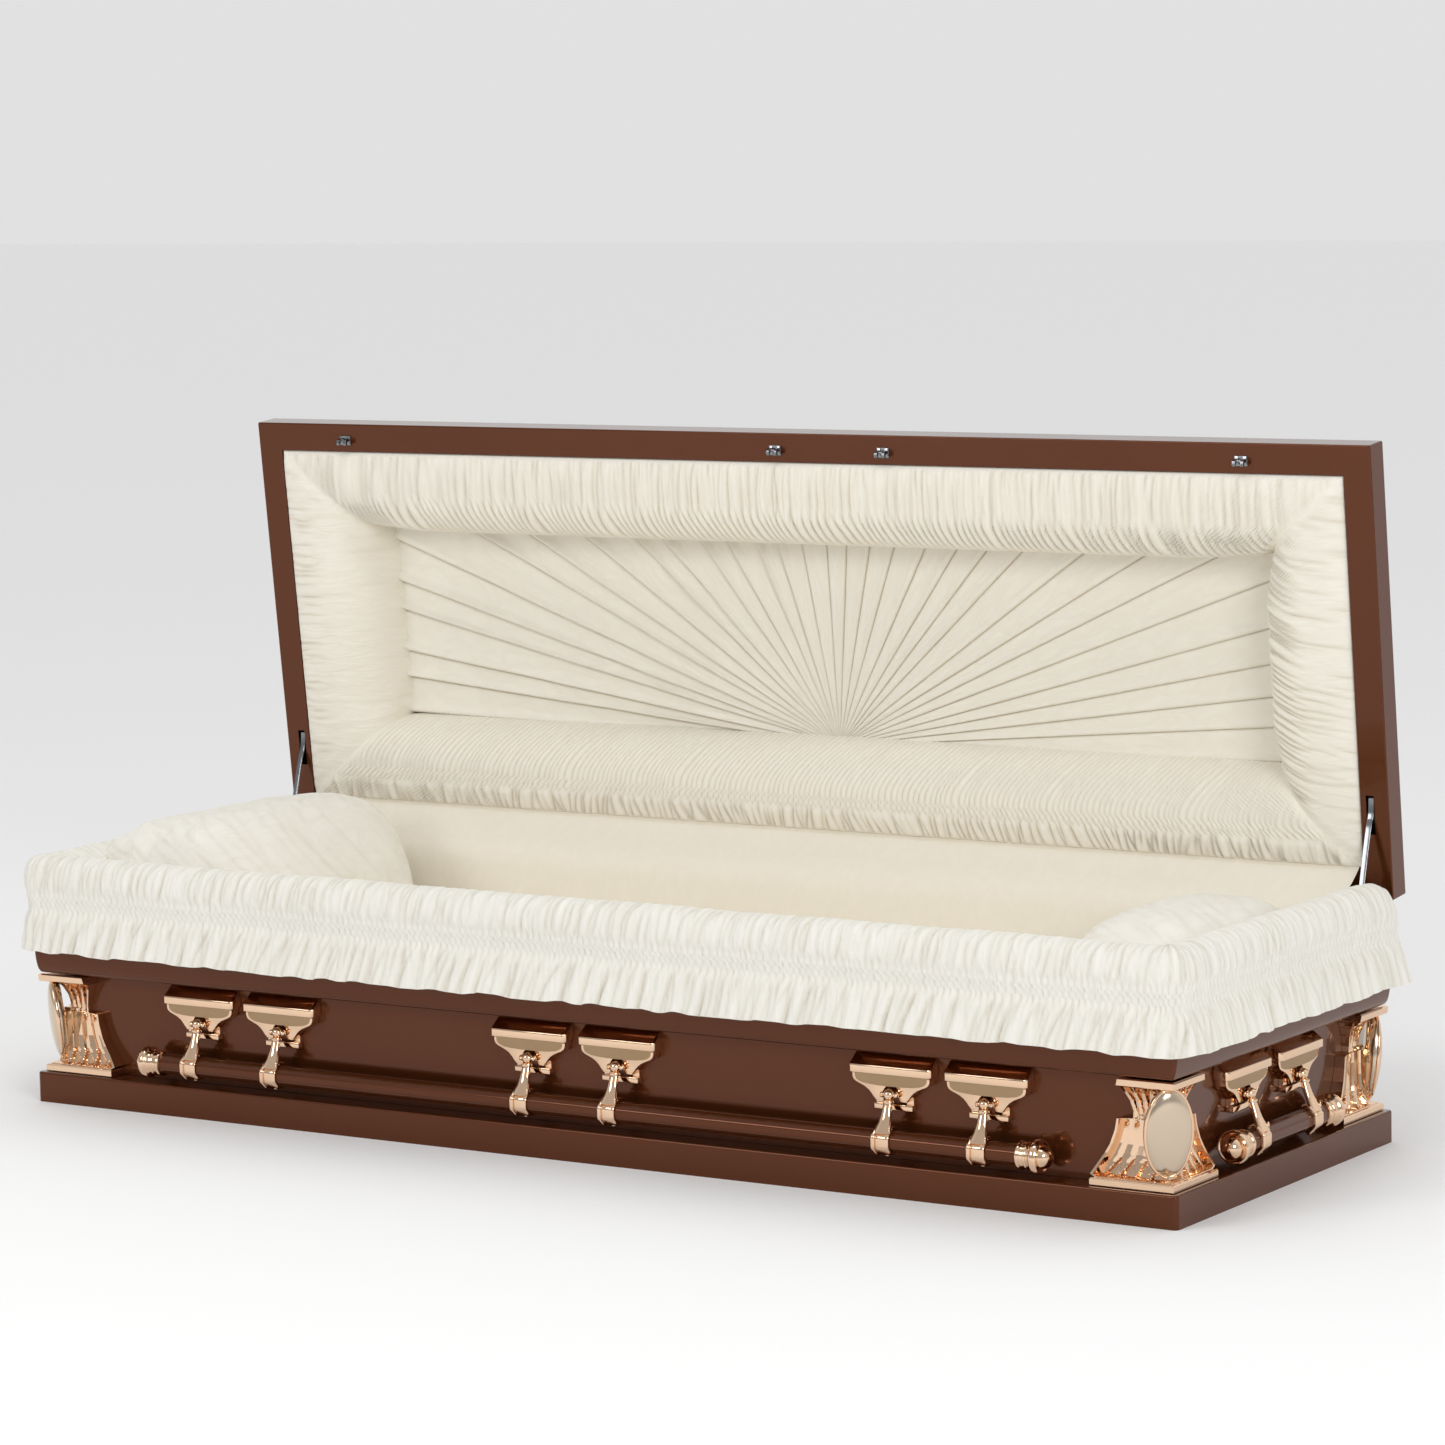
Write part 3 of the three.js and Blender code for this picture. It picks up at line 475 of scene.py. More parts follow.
def creases(along, across, spacing, width, seed, wander=0.35, length=60, patchy=0.35):
    # narrow lines at uneven spacing, each wandering and fading in its own way: 1 on the flats, 0 in a crease
    shift = np.random.default_rng(seed).uniform(-0.42, 0.42, 4099)
    first = np.floor(along / spacing).astype(int)
    depth = np.zeros(np.broadcast(along, across).shape)
    for step in (-1, 0, 1, 2):
        k = first + step
        sway = smoothNoise(k * 7.31, across, 1, length, seed + 1) - 0.5
        line = (k + shift[k % 4099] + 2 * wander * sway) * spacing
        strength = np.clip(1.5 * smoothNoise(k * 3.77, across, 1, length, seed + 2) + 0.5 - 2 * patchy, 0, 1)
        depth = np.maximum(depth, strength * np.exp(-np.abs(along - line) / width))
    return 1 - depth


def fade(value, low, high):
    t = np.clip((np.asarray(value, float) - low) / (high - low), 0, 1)
    return t * t * (3 - 2 * t)


# Box: base, side walls and rim moulding

boxShell = {"baseHeight": 50, "baseBevel": 4, "lip": 52, "floor": 2, "rimLow": 215, "flangeTop": 368.5,
            "flange": 46}


def makeBase():
    high, lip = boxShell["baseHeight"], boxShell["lip"]
    profile = softProfile([
        (0, 0, 0), (0, 0.6, 0), (0, high, boxShell["baseBevel"]), (lip, high, 0), (lip, high - sheet, 0),
        (5, high - sheet, 0), (sheet, high - 5, 0), (sheet, boxShell["floor"], 0)])
    rings = [boxRing(inset, inset, z) for inset, z in profile]
    base = turnOut(addPiece("basePan", *loft(rings), brownPaint))
    return settle(evenShade(base), "box", "painted_brown", "base_pan")


def makeWalls():
    inset = casket["wall"]
    low, high = boxShell["baseHeight"] + 0.4, boxShell["rimLow"] - 0.4
    profile = [(inset, low), (inset, high), (inset + sheet, high), (inset + sheet, low)]
    rings = [boxRing(a, a, z, 10) for a, z in profile]
    walls = turnOut(addPiece("bodyPanels", *loft(rings, True), brownPaint))
    return settle(evenShade(walls), "box", "painted_brown", "body_panels")


def boxSolid(low, high):
    ring = [(low[0], low[1]), (high[0], low[1]), (high[0], high[1]), (low[0], high[1])]
    return loft([[(x, y, z) for x, y in ring] for z in (low[2], high[2])])


def cutSlots(piece, solids):  # slots through a shell
    cutter = turnOut(addPiece("cutter", *gather(*solids), slotBlack))
    slots = piece.modifiers.new("slots", "BOOLEAN")
    slots.operation, slots.object, slots.solver = "DIFFERENCE", cutter, "EXACT"
    baked(piece).data.shade_smooth()
    bpy.data.objects.remove(cutter)
    return piece


hookX = [-872, -2, 202, 842]
stayX = 1029
rimSlots = {"hookHalf": 17, "hookY": (17, 39), "stayHalf": 8, "stayY": (190, 318), "under": 28, "over": 14}


def makeRim():
    low, top, wide = boxShell["rimLow"], boxShell["flangeTop"], boxShell["flange"]
    turns = np.linspace(0, math.pi / 2, 10)
    outer = [(11 * (1 - math.sin(t)), 260 - (260 - low) * math.cos(t)) for t in turns]
    outside = [(44, low)] + [(13, low), (11.4, low + 0.3)] + outer[1:]
    outside += list(softProfile([(0, 300, 0), (0, top, 3.5), (wide, top, 2), (wide, top - 14, 0)]))
    inside = [(wide - sheet, top - 14), (wide - sheet, top - sheet), (sheet, top - sheet)]
    inside += [(a + sheet, z) for a, z in outer[1:]][::-1] + [(12.6, low + 1.4), (44, low + sheet)]
    rings = [boxRing(a, a, z) for a, z in outside + inside]
    rim = turnOut(addPiece("rimMoulding", *loft(rings, True), brownPaint))
    under, over = top - rimSlots["under"], top + rimSlots["over"]
    half, (near, far) = rimSlots["hookHalf"], rimSlots["hookY"]
    slots = [boxSolid((x - half, near - halfY, under), (x + half, far - halfY, over)) for x in hookX]
    half, (near, far) = rimSlots["stayHalf"], rimSlots["stayY"]
    slots += [boxSolid((x - half, near, under), (x + half, far, over)) for x in (-stayX, stayX)]
    cutSlots(rim, slots)
    return settle(evenShade(rim), "box", "painted_brown", "rim_moulding")


makeBase()
makeWalls()
makeRim()
print("box shell built")


# Corner castings with their medallions

casting = {
    # height, reach along each wall, distance of the face in from the base's outer face
    "stations": [
        (50.4, 148, 12), (51.2, 148.6, 11), (59.5, 148.6, 11), (61.6, 147, 13), (62, 143, 17),
        (66, 151, 17.5), (72, 147, 19),
        (84, 139, 21.5), (98, 129, 23.5), (112, 121, 25), (132, 114, 26.5), (148.8, 111, 27),
        (149.6, 109.5, 28),
        (150, 87, 32), (160, 86.5, 31.5), (176, 90, 29), (190, 96, 23.5), (199.5, 101.5, 16), (200.5, 100, 8),
        (202, 100.5, 6), (211, 98, 5), (213, 96, 8)],
    "rows": 96, "columns": 72, "petals": 4, "first": 0.1, "rimStrip": 0.945,
    "step": 2.7, "facet": 1.2, "notch": 7, "notchTop": 92,
    "struts": (0.96, 0.74, 0.52, 0.3), "window": 9, "windowFoot": 157,
    "rosetteZ": 141, "rosette": 4.4,
}
medallion = {"inset": 26, "z": 135, "half": (35, 65), "bulge": 13, "lean": 7, "rim": 2.7}


def castingRelief(q, z, reach):  # how far the face is sunk, by share of the reach and by height
    low = fade(z, 64.5, 66) * (1 - fade(z, 149.2, 149.9))
    inside = 1 - fade(q, casting["rimStrip"] - 0.012, casting["rimStrip"] + 0.012)
    spot = np.clip((q - casting["first"]) / (casting["rimStrip"] - casting["first"]), 0, 0.9999)
    spot = spot * casting["petals"]
    index, part = np.floor(spot), spot % 1
    facet = casting["facet"] * np.abs(2 * part - 1) * (1.15 - 0.75 * np.clip((z - 66) / 83, 0, 1))
    notch = 0.44 * np.clip(1 - (z - 66) / (casting["notchTop"] - 66), 0, 1)
    hollow = (1 - fade(np.minimum(part, 1 - part), notch - 0.04, notch + 0.04)) * (notch > 0.01)
    wide = reach * (casting["rimStrip"] - casting["first"]) / casting["petals"]
    away = np.hypot((part - 0.5) * wide, z - casting["rosetteZ"]) / casting["rosette"]
    rosette = (index >= 2) * (4 * (1 - fade(away, 0.65, 0.85)) - 1.2 * fade(away, 0.7, 0.85)
                              * (1 - fade(away, 1.1, 1.3)))
    lower = inside * (0.8 + casting["step"] * index + facet + casting["notch"] * hollow + rosette)
    high = fade(z, 150.2, 151) * (1 - fade(z, 198.6, 200.2))
    rise = np.clip((z - casting["windowFoot"]) / (198 - casting["windowFoot"]), 0, 1)
    strut = np.abs(np.array(casting["struts"])[:, None, None] - q[None]).min(0)
    opening = fade(strut, 0.11 - 0.08 * rise, 0.13 - 0.08 * rise) * (rise > 0)
    ribs = 2.4 * np.clip(strut / 0.11, 0, 1) * (1 - rise)
    return low * lower + high * (casting["window"] * opening + ribs)


def makeCasting(name, x, y, turn):
    stations = np.array(casting["stations"])
    z = np.sort(np.concatenate([stations[:, 0], np.linspace(52, 212, casting["rows"] - len(stations))]))
    reach = np.interp(z, stations[:, 0], stations[:, 1])[:, None]
    face = np.interp(z, stations[:, 0], stations[:, 2])[:, None]
    q, height = np.broadcast_arrays(np.linspace(1, 0, casting["columns"])[None, :], z[:, None])
    deep = np.minimum(face + castingRelief(q, height, reach), 42.6)
    mitre = deep[:, -1:]
    along = mitre + (reach - mitre) * q
    wall = np.full((len(z), 1), casket["wall"] - 0.4)
    levels = z[:, None]
    edgeX = np.stack([reach, wall, levels], -1)
    sideX = np.stack([along, deep, height], -1)
    sideY = np.stack([deep, along, height], -1)[:, ::-1][:, 1:]
    edgeY = np.stack([wall, reach, levels], -1)
    heart = np.stack([wall, wall, levels], -1)
    place = Matrix.Translation((x * 0.001, y * 0.001, 0)) @ Matrix.Rotation(turn, 4, "Z")
    body = addPiece(f"cornerCasting_{name}", *loft(np.concatenate([edgeX, sideX, sideY, edgeY, heart], 1)),
                    roseGold)
    body.data.transform(place)
    turnOut(body).data.set_sharp_from_angle(angle=math.radians(32))
    settle(body, "box", "rose_gold", f"corner_{name}")
    turns = np.linspace(0, 2 * math.pi, 64, endpoint=False)
    wide, high = medallion["half"]
    rings = []
    for share in np.linspace(0, 1, 15)[1:]:
        arc = math.sin(share * math.pi / 2)
        side, up = wide * arc * np.cos(turns), high * arc * np.sin(turns)
        out = medallion["bulge"] * math.cos(share * math.pi / 2) ** 0.9 + medallion["lean"] * up / high
        rings.append(np.stack([side, np.broadcast_to(out, side.shape), up], -1))
    oval = loft(rings + [rings[-1] - [0, 11, 0]])
    tube = np.linspace(0, 2 * math.pi, 10, endpoint=False)
    ring = [np.stack([(wide + medallion["rim"] * np.cos(t)) * np.cos(turns),
                      medallion["rim"] * 1.3 * np.sin(t) + 0.8 + medallion["lean"] * np.sin(turns),
                      (high + medallion["rim"] * np.cos(t)) * np.sin(turns)], -1) for t in tube]
    inset = medallion["inset"] * 0.001
    stand = Matrix.Translation((inset, inset, medallion["z"] * 0.001))
    stand = stand @ Matrix.Rotation(math.radians(135), 4, "Z")
    for label, solid, look in (("medallion", oval, satinSilver),
                               ("medallionRim", loft(ring, True), roseGold)):
        piece = addPiece(f"{label}_{name}", *solid, look)
        piece.data.transform(place @ stand)
        settle(turnOut(piece), "box", "rose_gold")


for cornerName, cornerX, cornerY, cornerTurn in (
        ("front_left", -halfX, -halfY, 0), ("front_right", halfX, -halfY, math.pi / 2),
        ("back_right", halfX, halfY, math.pi), ("back_left", -halfX, halfY, -math.pi / 2)):
    makeCasting(cornerName, cornerX, cornerY, cornerTurn)
print("corner castings built")


# Handles: ears on the walls, arms, bars and end tips

longEars, endEars = [-734, -571, -82, 82, 571, 734], [-85, 85]
sides = {  # ears, half length of the bar, place of the side, turn
    "front": (longEars, 802, (0, -halfY), 0.0), "foot_end": (endEars, 128, (halfX, 0), math.pi / 2),
    "back": (longEars, 802, (0, halfY), math.pi), "head_end": (endEars, 128, (-halfX, 0), -math.pi / 2),
}
ear = {"half": 71, "front": 18, "barLow": 181, "barHigh": 193, "capRise": 15, "corbelFront": 24.5,
       "outline": [(67, 181.5), (66.6, 173), (64.6, 168.6), (60, 165.4), (53, 162.6), (45.5, 159.4),
                   (38.8, 155), (34, 150), (30.5, 145.4), (27.5, 142.5), (26.5, 140)],
       "field": [(62.4, 181.2), (62, 174), (59.6, 170), (55.4, 167.4), (48, 165), (36, 163.4), (17, 162.6)],
       "archHalf": 13, "archSpring": 152}
arm = {"pivotInset": 20, "pivotZ": 151, "ball": 9.2, "strap": 5.0,
       # height, distance in from the base's outer face, half width, half thickness
       "shank": [(143, 17.9, 6.2, 5.2), (138, 16.2, 7.2, 5.6), (131, 13.6, 7.8, 5.8), (123, 10.6, 8.6, 5.8),
                 (115, 7.2, 10.0, 6.0), (108, 3.6, 11.8, 6.4), (102, 0.0, 13.2, 6.2),
                 (97.5, -3.6, 13.4, 5.0)]}
bar = {"inset": 11, "z": 84, "flat": 16, "round": 3.2}
barTip = [(-4, 0), (-4, 19.6), (-3, 21), (-1, 21.6), (1.5, 21), (2.6, 19.2), (9, 18.8), (10, 20.2),
          (11.5, 20.9),
          (13, 20.2), (14, 18.9), (18, 19.2), (20.5, 22.4), (22, 25), (24.5, 26), (28.5, 26), (31.5, 25.4),
          (33, 23.8),
          (32.4, 21.4), (30.6, 19.8), (30.4, 18.4), (32.4, 17.6), (37.5, 17), (42.5, 14.6), (46.6, 10),
          (49, 4.6), (49.6, 0)]


def prismY(outline, near, far):  # outline of (x, z) pairs between two insets
    return loft([[(x, y, z) for x, z in outline] for y in (near, far)])


def earSolid():
    wall = casket["wall"] - 0.4
    half, front = ear["half"], ear["front"]
    low, high = ear["barLow"], ear["barHigh"]
    plan = [(-half, wall), (-half, front + 5), (-half + 5, front), (half - 5, front), (half, front + 5),
            (half, wall)]
    top = [(-half + 2, wall), (-half + 2, wall - 3), (-half + 4, wall - 4), (half - 4, wall - 4),
           (half - 2, wall - 3), (half - 2, wall)]
    levels = [(plan, low), (plan, high), (top, high + ear["capRise"])]
    capped = bevelled(loft([[(x, y, z) for x, y in ring] for ring, z in levels]), 0.9)
    left = [(-x, z) for x, z in ear["outline"]]
    right = ear["outline"][::-1]
    turns = np.linspace(0, math.pi, 12)
    radius = ear["archHalf"]
    arch = [(-radius * math.cos(t), ear["archSpring"] + radius * math.sin(t)) for t in turns]
    arch = [(-radius, 140)] + arch + [(radius, 140)]
    corbel = bevelled(prismY(left + arch + right, ear["corbelFront"], wall), 1.3, angle=40)
    post = [(-6, 130), (6, 130), (6, 146), (-6, 146)]
    posts = [prismY([(x + a, z) for a, z in post], wall - 7, wall) for x in (-26, 26)]
    foot = bevelled(prismY([(-33, 126), (33, 126), (33, 135), (-33, 135)], wall - 13, wall), 1.2)
    return gather(capped, corbel, foot, *posts)


def earFieldSolid():  # satin field under the bar, a little proud of the corbel
    outline = [(-x, z) for x, z in ear["field"]] + ear["field"][::-1]
    return prismY(outline, ear["corbelFront"] - 0.35, ear["corbelFront"] + 1)


def ball(centre, radii, around=18, rows=10):
    rings = []
    for t in np.linspace(-math.pi / 2 + 0.12, math.pi / 2 - 0.12, rows):
        turns = np.linspace(0, 2 * math.pi, around, endpoint=False)
        rings.append(np.stack([centre[0] + radii[0] * math.cos(t) * np.cos(turns),
                               centre[1] + radii[1] * math.cos(t) * np.sin(turns),
                               np.full(around, centre[2] + radii[2] * math.sin(t))], -1))
    return loft(rings)


def turned(profile, centre, axis, around=20):  # lathe of (along, radius) pairs about x or z
    turns = np.linspace(0, 2 * math.pi, around, endpoint=False)
    rings = []
    for along, radius in profile:
        radius = max(radius, 0.02)
        a, b = radius * np.cos(turns), radius * np.sin(turns)
        line = np.full(around, float(along))
        ring = np.stack([line, a, b] if axis == "x" else [a, b, line], -1)
        rings.append(ring + np.asarray(centre, float))
    return loft(rings)


def barSection(offset, rounded):  # the bar's eight sides with softened edges, as (inset, z) from its axis
    reach = (bar["flat"] + offset) / math.cos(math.pi / 8)
    angles = (np.arange(8) + 0.5) * math.pi / 4
    corners = [(reach * math.cos(angle), reach * math.sin(angle)) for angle in angles]
    ring = []
    for i, here in enumerate(corners):
        here = np.array(here)
        back, on = np.array(corners[i - 1]) - here, np.array(corners[(i + 1) % 8]) - here
        start, end = here + back * rounded / np.linalg.norm(back), here + on * rounded / np.linalg.norm(on)
        for t in np.linspace(0, 1, 5):
            ring.append((1 - t) ** 2 * start + 2 * t * (1 - t) * here + t * t * end)
    return np.array(ring)


def strapBand(centreX, half, offsetIn, offsetOut, startDegrees, endDegrees):
    section = barSection(offsetIn, 3)
    angle = np.degrees(np.arctan2(section[:, 1], section[:, 0])) % 360
    order = np.argsort(angle)
    section, angle = section[order], angle[order]
    keep = (angle >= startDegrees) & (angle <= endDegrees)
    inner = section[keep]
    grow = (bar["flat"] + offsetOut) / (bar["flat"] + offsetIn)
    outer = inner * grow
    rings = []
    for low, high in zip(inner, outer):
        out = (high - low)
        shape = [(-half, 0.0), (-half, 0.55), (-half * 0.86, 0.88), (-half * 0.6, 1.0), (half * 0.6, 1.0),
                 (half * 0.86, 0.88), (half, 0.55), (half, 0.0)]
        inset, z = bar["inset"] + low[0], bar["z"] + low[1]
        rings.append([(centreX + x, inset + out[0] * k, z + out[1] * k) for x, k in shape])
    return loft(rings)


def armSolid():
    inset, z = arm["pivotInset"], arm["pivotZ"]
    knuckle = ball((0, inset, z), (arm["ball"], arm["ball"], arm["ball"]))
    pin = turned([(-15.5, 0), (-15.2, 3), (-13.5, 4.6), (-11, 4.8), (-9.5, 3.2), (9.5, 3.2), (11, 4.8),
                  (13.5, 4.6), (15.2, 3), (15.5, 0)], (0, inset, z), "x", 14)
    collar = turned([(138.6, 0), (138.6, 6.5), (139.6, 8.8), (141.4, 9.4), (143.2, 8.8), (144.2, 6.5),
                     (144.2, 0)],
                    (0, inset - 2.2, 0), "z", 18)
    shape = curveThrough(arm["shank"], 22)
    turns = np.linspace(0, 2 * math.pi, 20, endpoint=False)
    side, front = np.cos(turns), np.sin(turns)
    rings = []
    for height, middle, wide, thick in shape:
        x = wide * np.sign(side) * np.abs(side) ** 0.8
        groove = 1.3 * np.exp(-(x / (0.3 * wide)) ** 2) * (front < 0)
        y = thick * np.sign(front) * np.abs(front) ** 0.85 - groove
        rings.append(np.stack([x, middle + y, np.full(20, height)], -1))
    band = strapBand(1.5, 11.5, 0.4, arm["strap"], 62, 300)
    bead = strapBand(-12.6, 3.4, 0.4, arm["strap"] + 1.6, 78, 282)
    leaf = ball((12.6, -2.5, 102.5), (1.8, 2.2, 6.5), 10, 7)
    tail = ball((4, 8, 63.6), (4.5, 5.5, 2.4), 12, 6)
    return gather(knuckle, pin, collar, loft(rings), band, bead, leaf, tail)


def repeatTree(name):  # sets one part on every incoming point, turned by the point's own angle
    tree = bpy.data.node_groups.new(name, "GeometryNodeTree")
    tree.interface.new_socket("Geometry", in_out="INPUT", socket_type="NodeSocketGeometry")
    for label, kind in (("Part", "NodeSocketObject"), ("Size", "NodeSocketFloat"),
                        ("Finish", "NodeSocketMaterial")):
        tree.interface.new_socket(label, in_out="INPUT", socket_type=kind)
    tree.interface.new_socket("Geometry", in_out="OUTPUT", socket_type="NodeSocketGeometry")
    into, out = addNode(tree, "NodeGroupInput"), addNode(tree, "NodeGroupOutput")
    part = addNode(tree, "GeometryNodeObjectInfo", {"Object": into.outputs["Part"]})
    angle = addNode(tree, "GeometryNodeInputNamedAttribute", {"Name": "turn"}, data_type="FLOAT")
    euler = addNode(tree, "ShaderNodeCombineXYZ", {"Z": angle.outputs[0]})
    spin = addNode(tree, "FunctionNodeEulerToRotation", {0: euler.outputs[0]})
    laid = addNode(tree, "GeometryNodeInstanceOnPoints", {
        "Points": into.outputs["Geometry"], "Instance": part.outputs["Geometry"], "Rotation": spin.outputs[0],
        "Scale": into.outputs["Size"]})
    real = addNode(tree, "GeometryNodeRealizeInstances", {"Geometry": laid.outputs[0]})
    dressed = addNode(tree, "GeometryNodeSetMaterial", {
        "Geometry": real.outputs[0], "Material": into.outputs["Finish"]})
    tree.links.new(dressed.outputs[0], out.inputs[0])
    return tree


repeater = repeatTree("repeatAlong")


def repeat(name, solid, places, material, sharp=38):  # places: x, y, z in mm and turn
    part = turnOut(addPiece(f"{name}Part", *solid, material))
    part.data.set_sharp_from_angle(angle=math.radians(sharp))
    made = addPiece(name, [p[:3] for p in places], [], material)
    turn = made.data.attributes.new("turn", "FLOAT", "POINT")
    turn.data.foreach_set("value", [p[3] for p in places])
    nodes = made.modifiers.new("repeat", "NODES")
    nodes.node_group = repeater
    sockets = {s.name: s.identifier for s in repeater.interface.items_tree if s.in_out == "INPUT"}
    nodes[sockets["Part"]] = part
    nodes[sockets["Size"]] = 1.0
    nodes[sockets["Finish"]] = material
    baked(made)
    bpy.data.objects.remove(part)
    return made


def alongSide(side, x):  # a point on a side's own line
    (placeX, placeY), turn = sides[side][2:]
    return placeX + x * math.cos(turn), placeY + x * math.sin(turn), 0, turn


def makeHandles():
    places = [alongSide(side, x) for side in sides for x in sides[side][0]]
    nodes = [f"ear_{side}_{i + 1}" for side in sides for i in range(len(sides[side][0]))]
    ears = repeat("handleEars", earSolid(), places, roseGold, 30)
    settle(ears, "box", "rose_gold", *nodes)
    fields = repeat("earFields", earFieldSolid(), places, earField, 30)
    settle(fields, "box", "rose_gold")
    armPart = armSolid()
    tipPart = turned(barTip, (0, 0, 0), "x", 36)
    for side, (along, half, place, turn) in sides.items():
        body = f"handle_{side}"
        arms = repeat(f"arms_{side}", armPart, [alongSide(side, x) for x in along], roseGold, 45)
        settle(arms, body, "rose_gold", *[f"arm_{side}_{i + 1}" for i in range(len(along))])
        seat = Matrix.Translation((place[0] * 0.001, place[1] * 0.001, 0)) @ Matrix.Rotation(turn, 4, "Z")
        section = barSection(0, bar["round"])
        ends = (-half, -half + 1, half - 1, half)
        rings = [[(x, bar["inset"] + y, bar["z"] + z) for y, z in section] for x in ends]
        grip = turnOut(addPiece(f"bar_{side}Grip", *loft(rings), brownPaint))
        grip.data.transform(seat)
        settle(evenShade(grip, 60), body, "painted_brown", f"bar_{side}")
        points, faces = tipPart
        right = points + [half, bar["inset"], bar["z"]]
        left = points * [-1, 1, 1] + [-half, bar["inset"], bar["z"]]
        tips = turnOut(addPiece(f"barTips_{side}", *gather((right, faces), (left, faces)), roseGold))
        tips.data.transform(seat)
        tips.data.set_sharp_from_angle(angle=math.radians(50))
        settle(tips, body, "rose_gold", f"bar_{side}")


makeHandles()
print("handles built")


# Lid: shell, hinge, latch hooks and stays

lid = {
    "flange": 47.5,
    # set-back at the ends, set-back at the sides, height, corner radius
    "crown": [(0, 0, 43, 3), (2, 2, 45.5, 3), (8, 8, 46.5, 4), (13, 12.5, 50, 6), (18, 17, 56, 9),
              (30, 27, 76, 15), (44, 38, 104, 22), (66, 54, 142, 30), (96, 76, 174, 40), (140, 105, 196, 52),
              (220, 150, 208, 66), (330, 200, 212, 80)],
    "slotV": (103, 164), "slotHalf": 7, "slotDepth": (-8, 5),
    # the well blocks are near-black plates behind the slots, a painted shadow
    "wellV": (91, 178), "wellHalf": 14, "wellDepth": (12, 14),
}


def toLid(ring):  # box ring to the open lid
    ring = np.asarray(ring, float)
    return lidPlace(ring[:, 0], halfY - ring[:, 1], ring[:, 2])


def lidPrism(outline, start, end):  # outline of (distance from the hinge edge, depth), between two x
    v, depth = np.asarray(outline, float).T
    return loft([lidPlace(x, v, depth) for x in (start, end)])


def slotBlocks(name):  # one block for each stay, across the flange
    half, (low, high) = lid[f"{name}Half"], lid[f"{name}V"]
    solids = []
    for x in (-stayX, stayX):
        wide, long = (x - half, x + half, x + half, x - half), (low, low, high, high)
        solids.append(loft([lidPlace(wide, long, depth) for depth in lid[f"{name}Depth"]]))
    return solids


def makeLid():
    crown = curveThrough(lid["crown"], 44)
    outside = [toLid(boxRing(a, b, h, r)) for a, b, h, r in crown[::-1]]
    edge = softProfile([(0, 40, 0), (0, 0, 2.5), (lid["flange"], 0, 1.5), (lid["flange"], 10, 0)])
    edge = [toLid(boxRing(a, a, h, 3)) for a, h in edge]
    inner = [(lid["flange"] - sheet, 10), (lid["flange"] - sheet, sheet), (sheet, sheet), (sheet, 42)]
    inner = [toLid(boxRing(a, a, h, 2.5)) for a, h in inner]
    inside = [toLid(boxRing(a + sheet, b + sheet, h - sheet, r)) for a, b, h, r in crown[2:]]
    shell = turnOut(addPiece("lidShell", *loft(outside + edge + inner + inside), brownPaint))
    cutSlots(shell, slotBlocks("slot"))
    settle(evenShade(shell), "lid", "painted_brown", "lid_shell")
    # near-black plates behind the stay slots: painted shadow for the dark inside the hollow lid
    slotShadowPlates = turnOut(addPiece("staySlots", *gather(*slotBlocks("well")), slotBlack))
    return settle(slotShadowPlates, "lid", "chrome")


hook = {
    "inset": 28,  # from the flange's front edge
    # outlines of (place across the flange, depth)
    "claw": [(-8, 0.4), (8, 0.4), (8, -3), (4, -4), (3, -11), (1.5, -14), (-3, -15), (-6.5, -14), (-7, -11),
             (-4, -10.5), (-1.5, -10), (-0.5, -4), (-8, -3)],
    "plate": [(-8, -0.4), (8, -0.4), (8, -2.6), (-8, -2.6)],
    "clawSpans": ((-10, -4), (4, 10)), "plateSpan": (-11, 11), "pinSpan": (-9, 9), "pinPlace": (1, -8),
    "pinRadius": 2.2,
}


def makeHooks():
    middle = np.array([2 * halfY - hook["inset"], 0])
    turns = np.linspace(0, 2 * math.pi, 12, endpoint=False)
    circle = np.stack([np.cos(turns), np.sin(turns)], 1) * hook["pinRadius"] + hook["pinPlace"]
    for i, x in enumerate(hookX):
        shapes = [(hook["claw"], span) for span in hook["clawSpans"]] + [(hook["plate"], hook["plateSpan"])]
        solids = [bevelled(lidPrism(middle + line, x + start, x + end), 0.5) for line, (start, end) in shapes]
        solids.append(lidPrism(middle + circle, x + hook["pinSpan"][0], x + hook["pinSpan"][1]))
        piece = turnOut(addPiece(f"latchHook_{i + 1}", *gather(*solids), chrome))
        settle(evenShade(piece), "lid", "chrome", f"latch_hook_{i + 1}")


stay = {"line": [(348, 533), (347.6, 522), (346.4, 510), (343.6, 500), (338.6, 489), (330, 462), (314, 405),
                 (304, 368), (302.6, 363)], "wide": 9, "thick": 3}


def makeStays():
    line = curveThrough(stay["line"], 60)
    lean = np.gradient(line, axis=0)
    lean /= np.linalg.norm(lean, axis=1)[:, None]
    side = np.stack([-lean[:, 1], lean[:, 0]], 1)
    half, thick = stay["wide"] / 2, stay["thick"] / 2
    section = [(-half, -thick * 0.5), (-half * 0.8, -thick), (half * 0.8, -thick), (half, -thick * 0.5),
               (half, thick * 0.5), (half * 0.8, thick), (-half * 0.8, thick), (-half, thick * 0.5)]
    for name, x in (("head", -stayX), ("foot", stayX)):
        rings = [[(x + a, p[0] + n[0] * b, p[1] + n[1] * b) for a, b in section] for p, n in zip(line, side)]
        strip = turnOut(addPiece(f"stay_{name}Strip", *loft(rings), chrome))
        settle(evenShade(strip, 50), f"stay_{name}", "chrome", f"stay_{name}")


knuckles = {"pitch": 27, "count": 70, "leafFaces": (-3.4, -2.2),
            "leafSpan": {"box": (-32, -1), "lid": (1, 32)}}


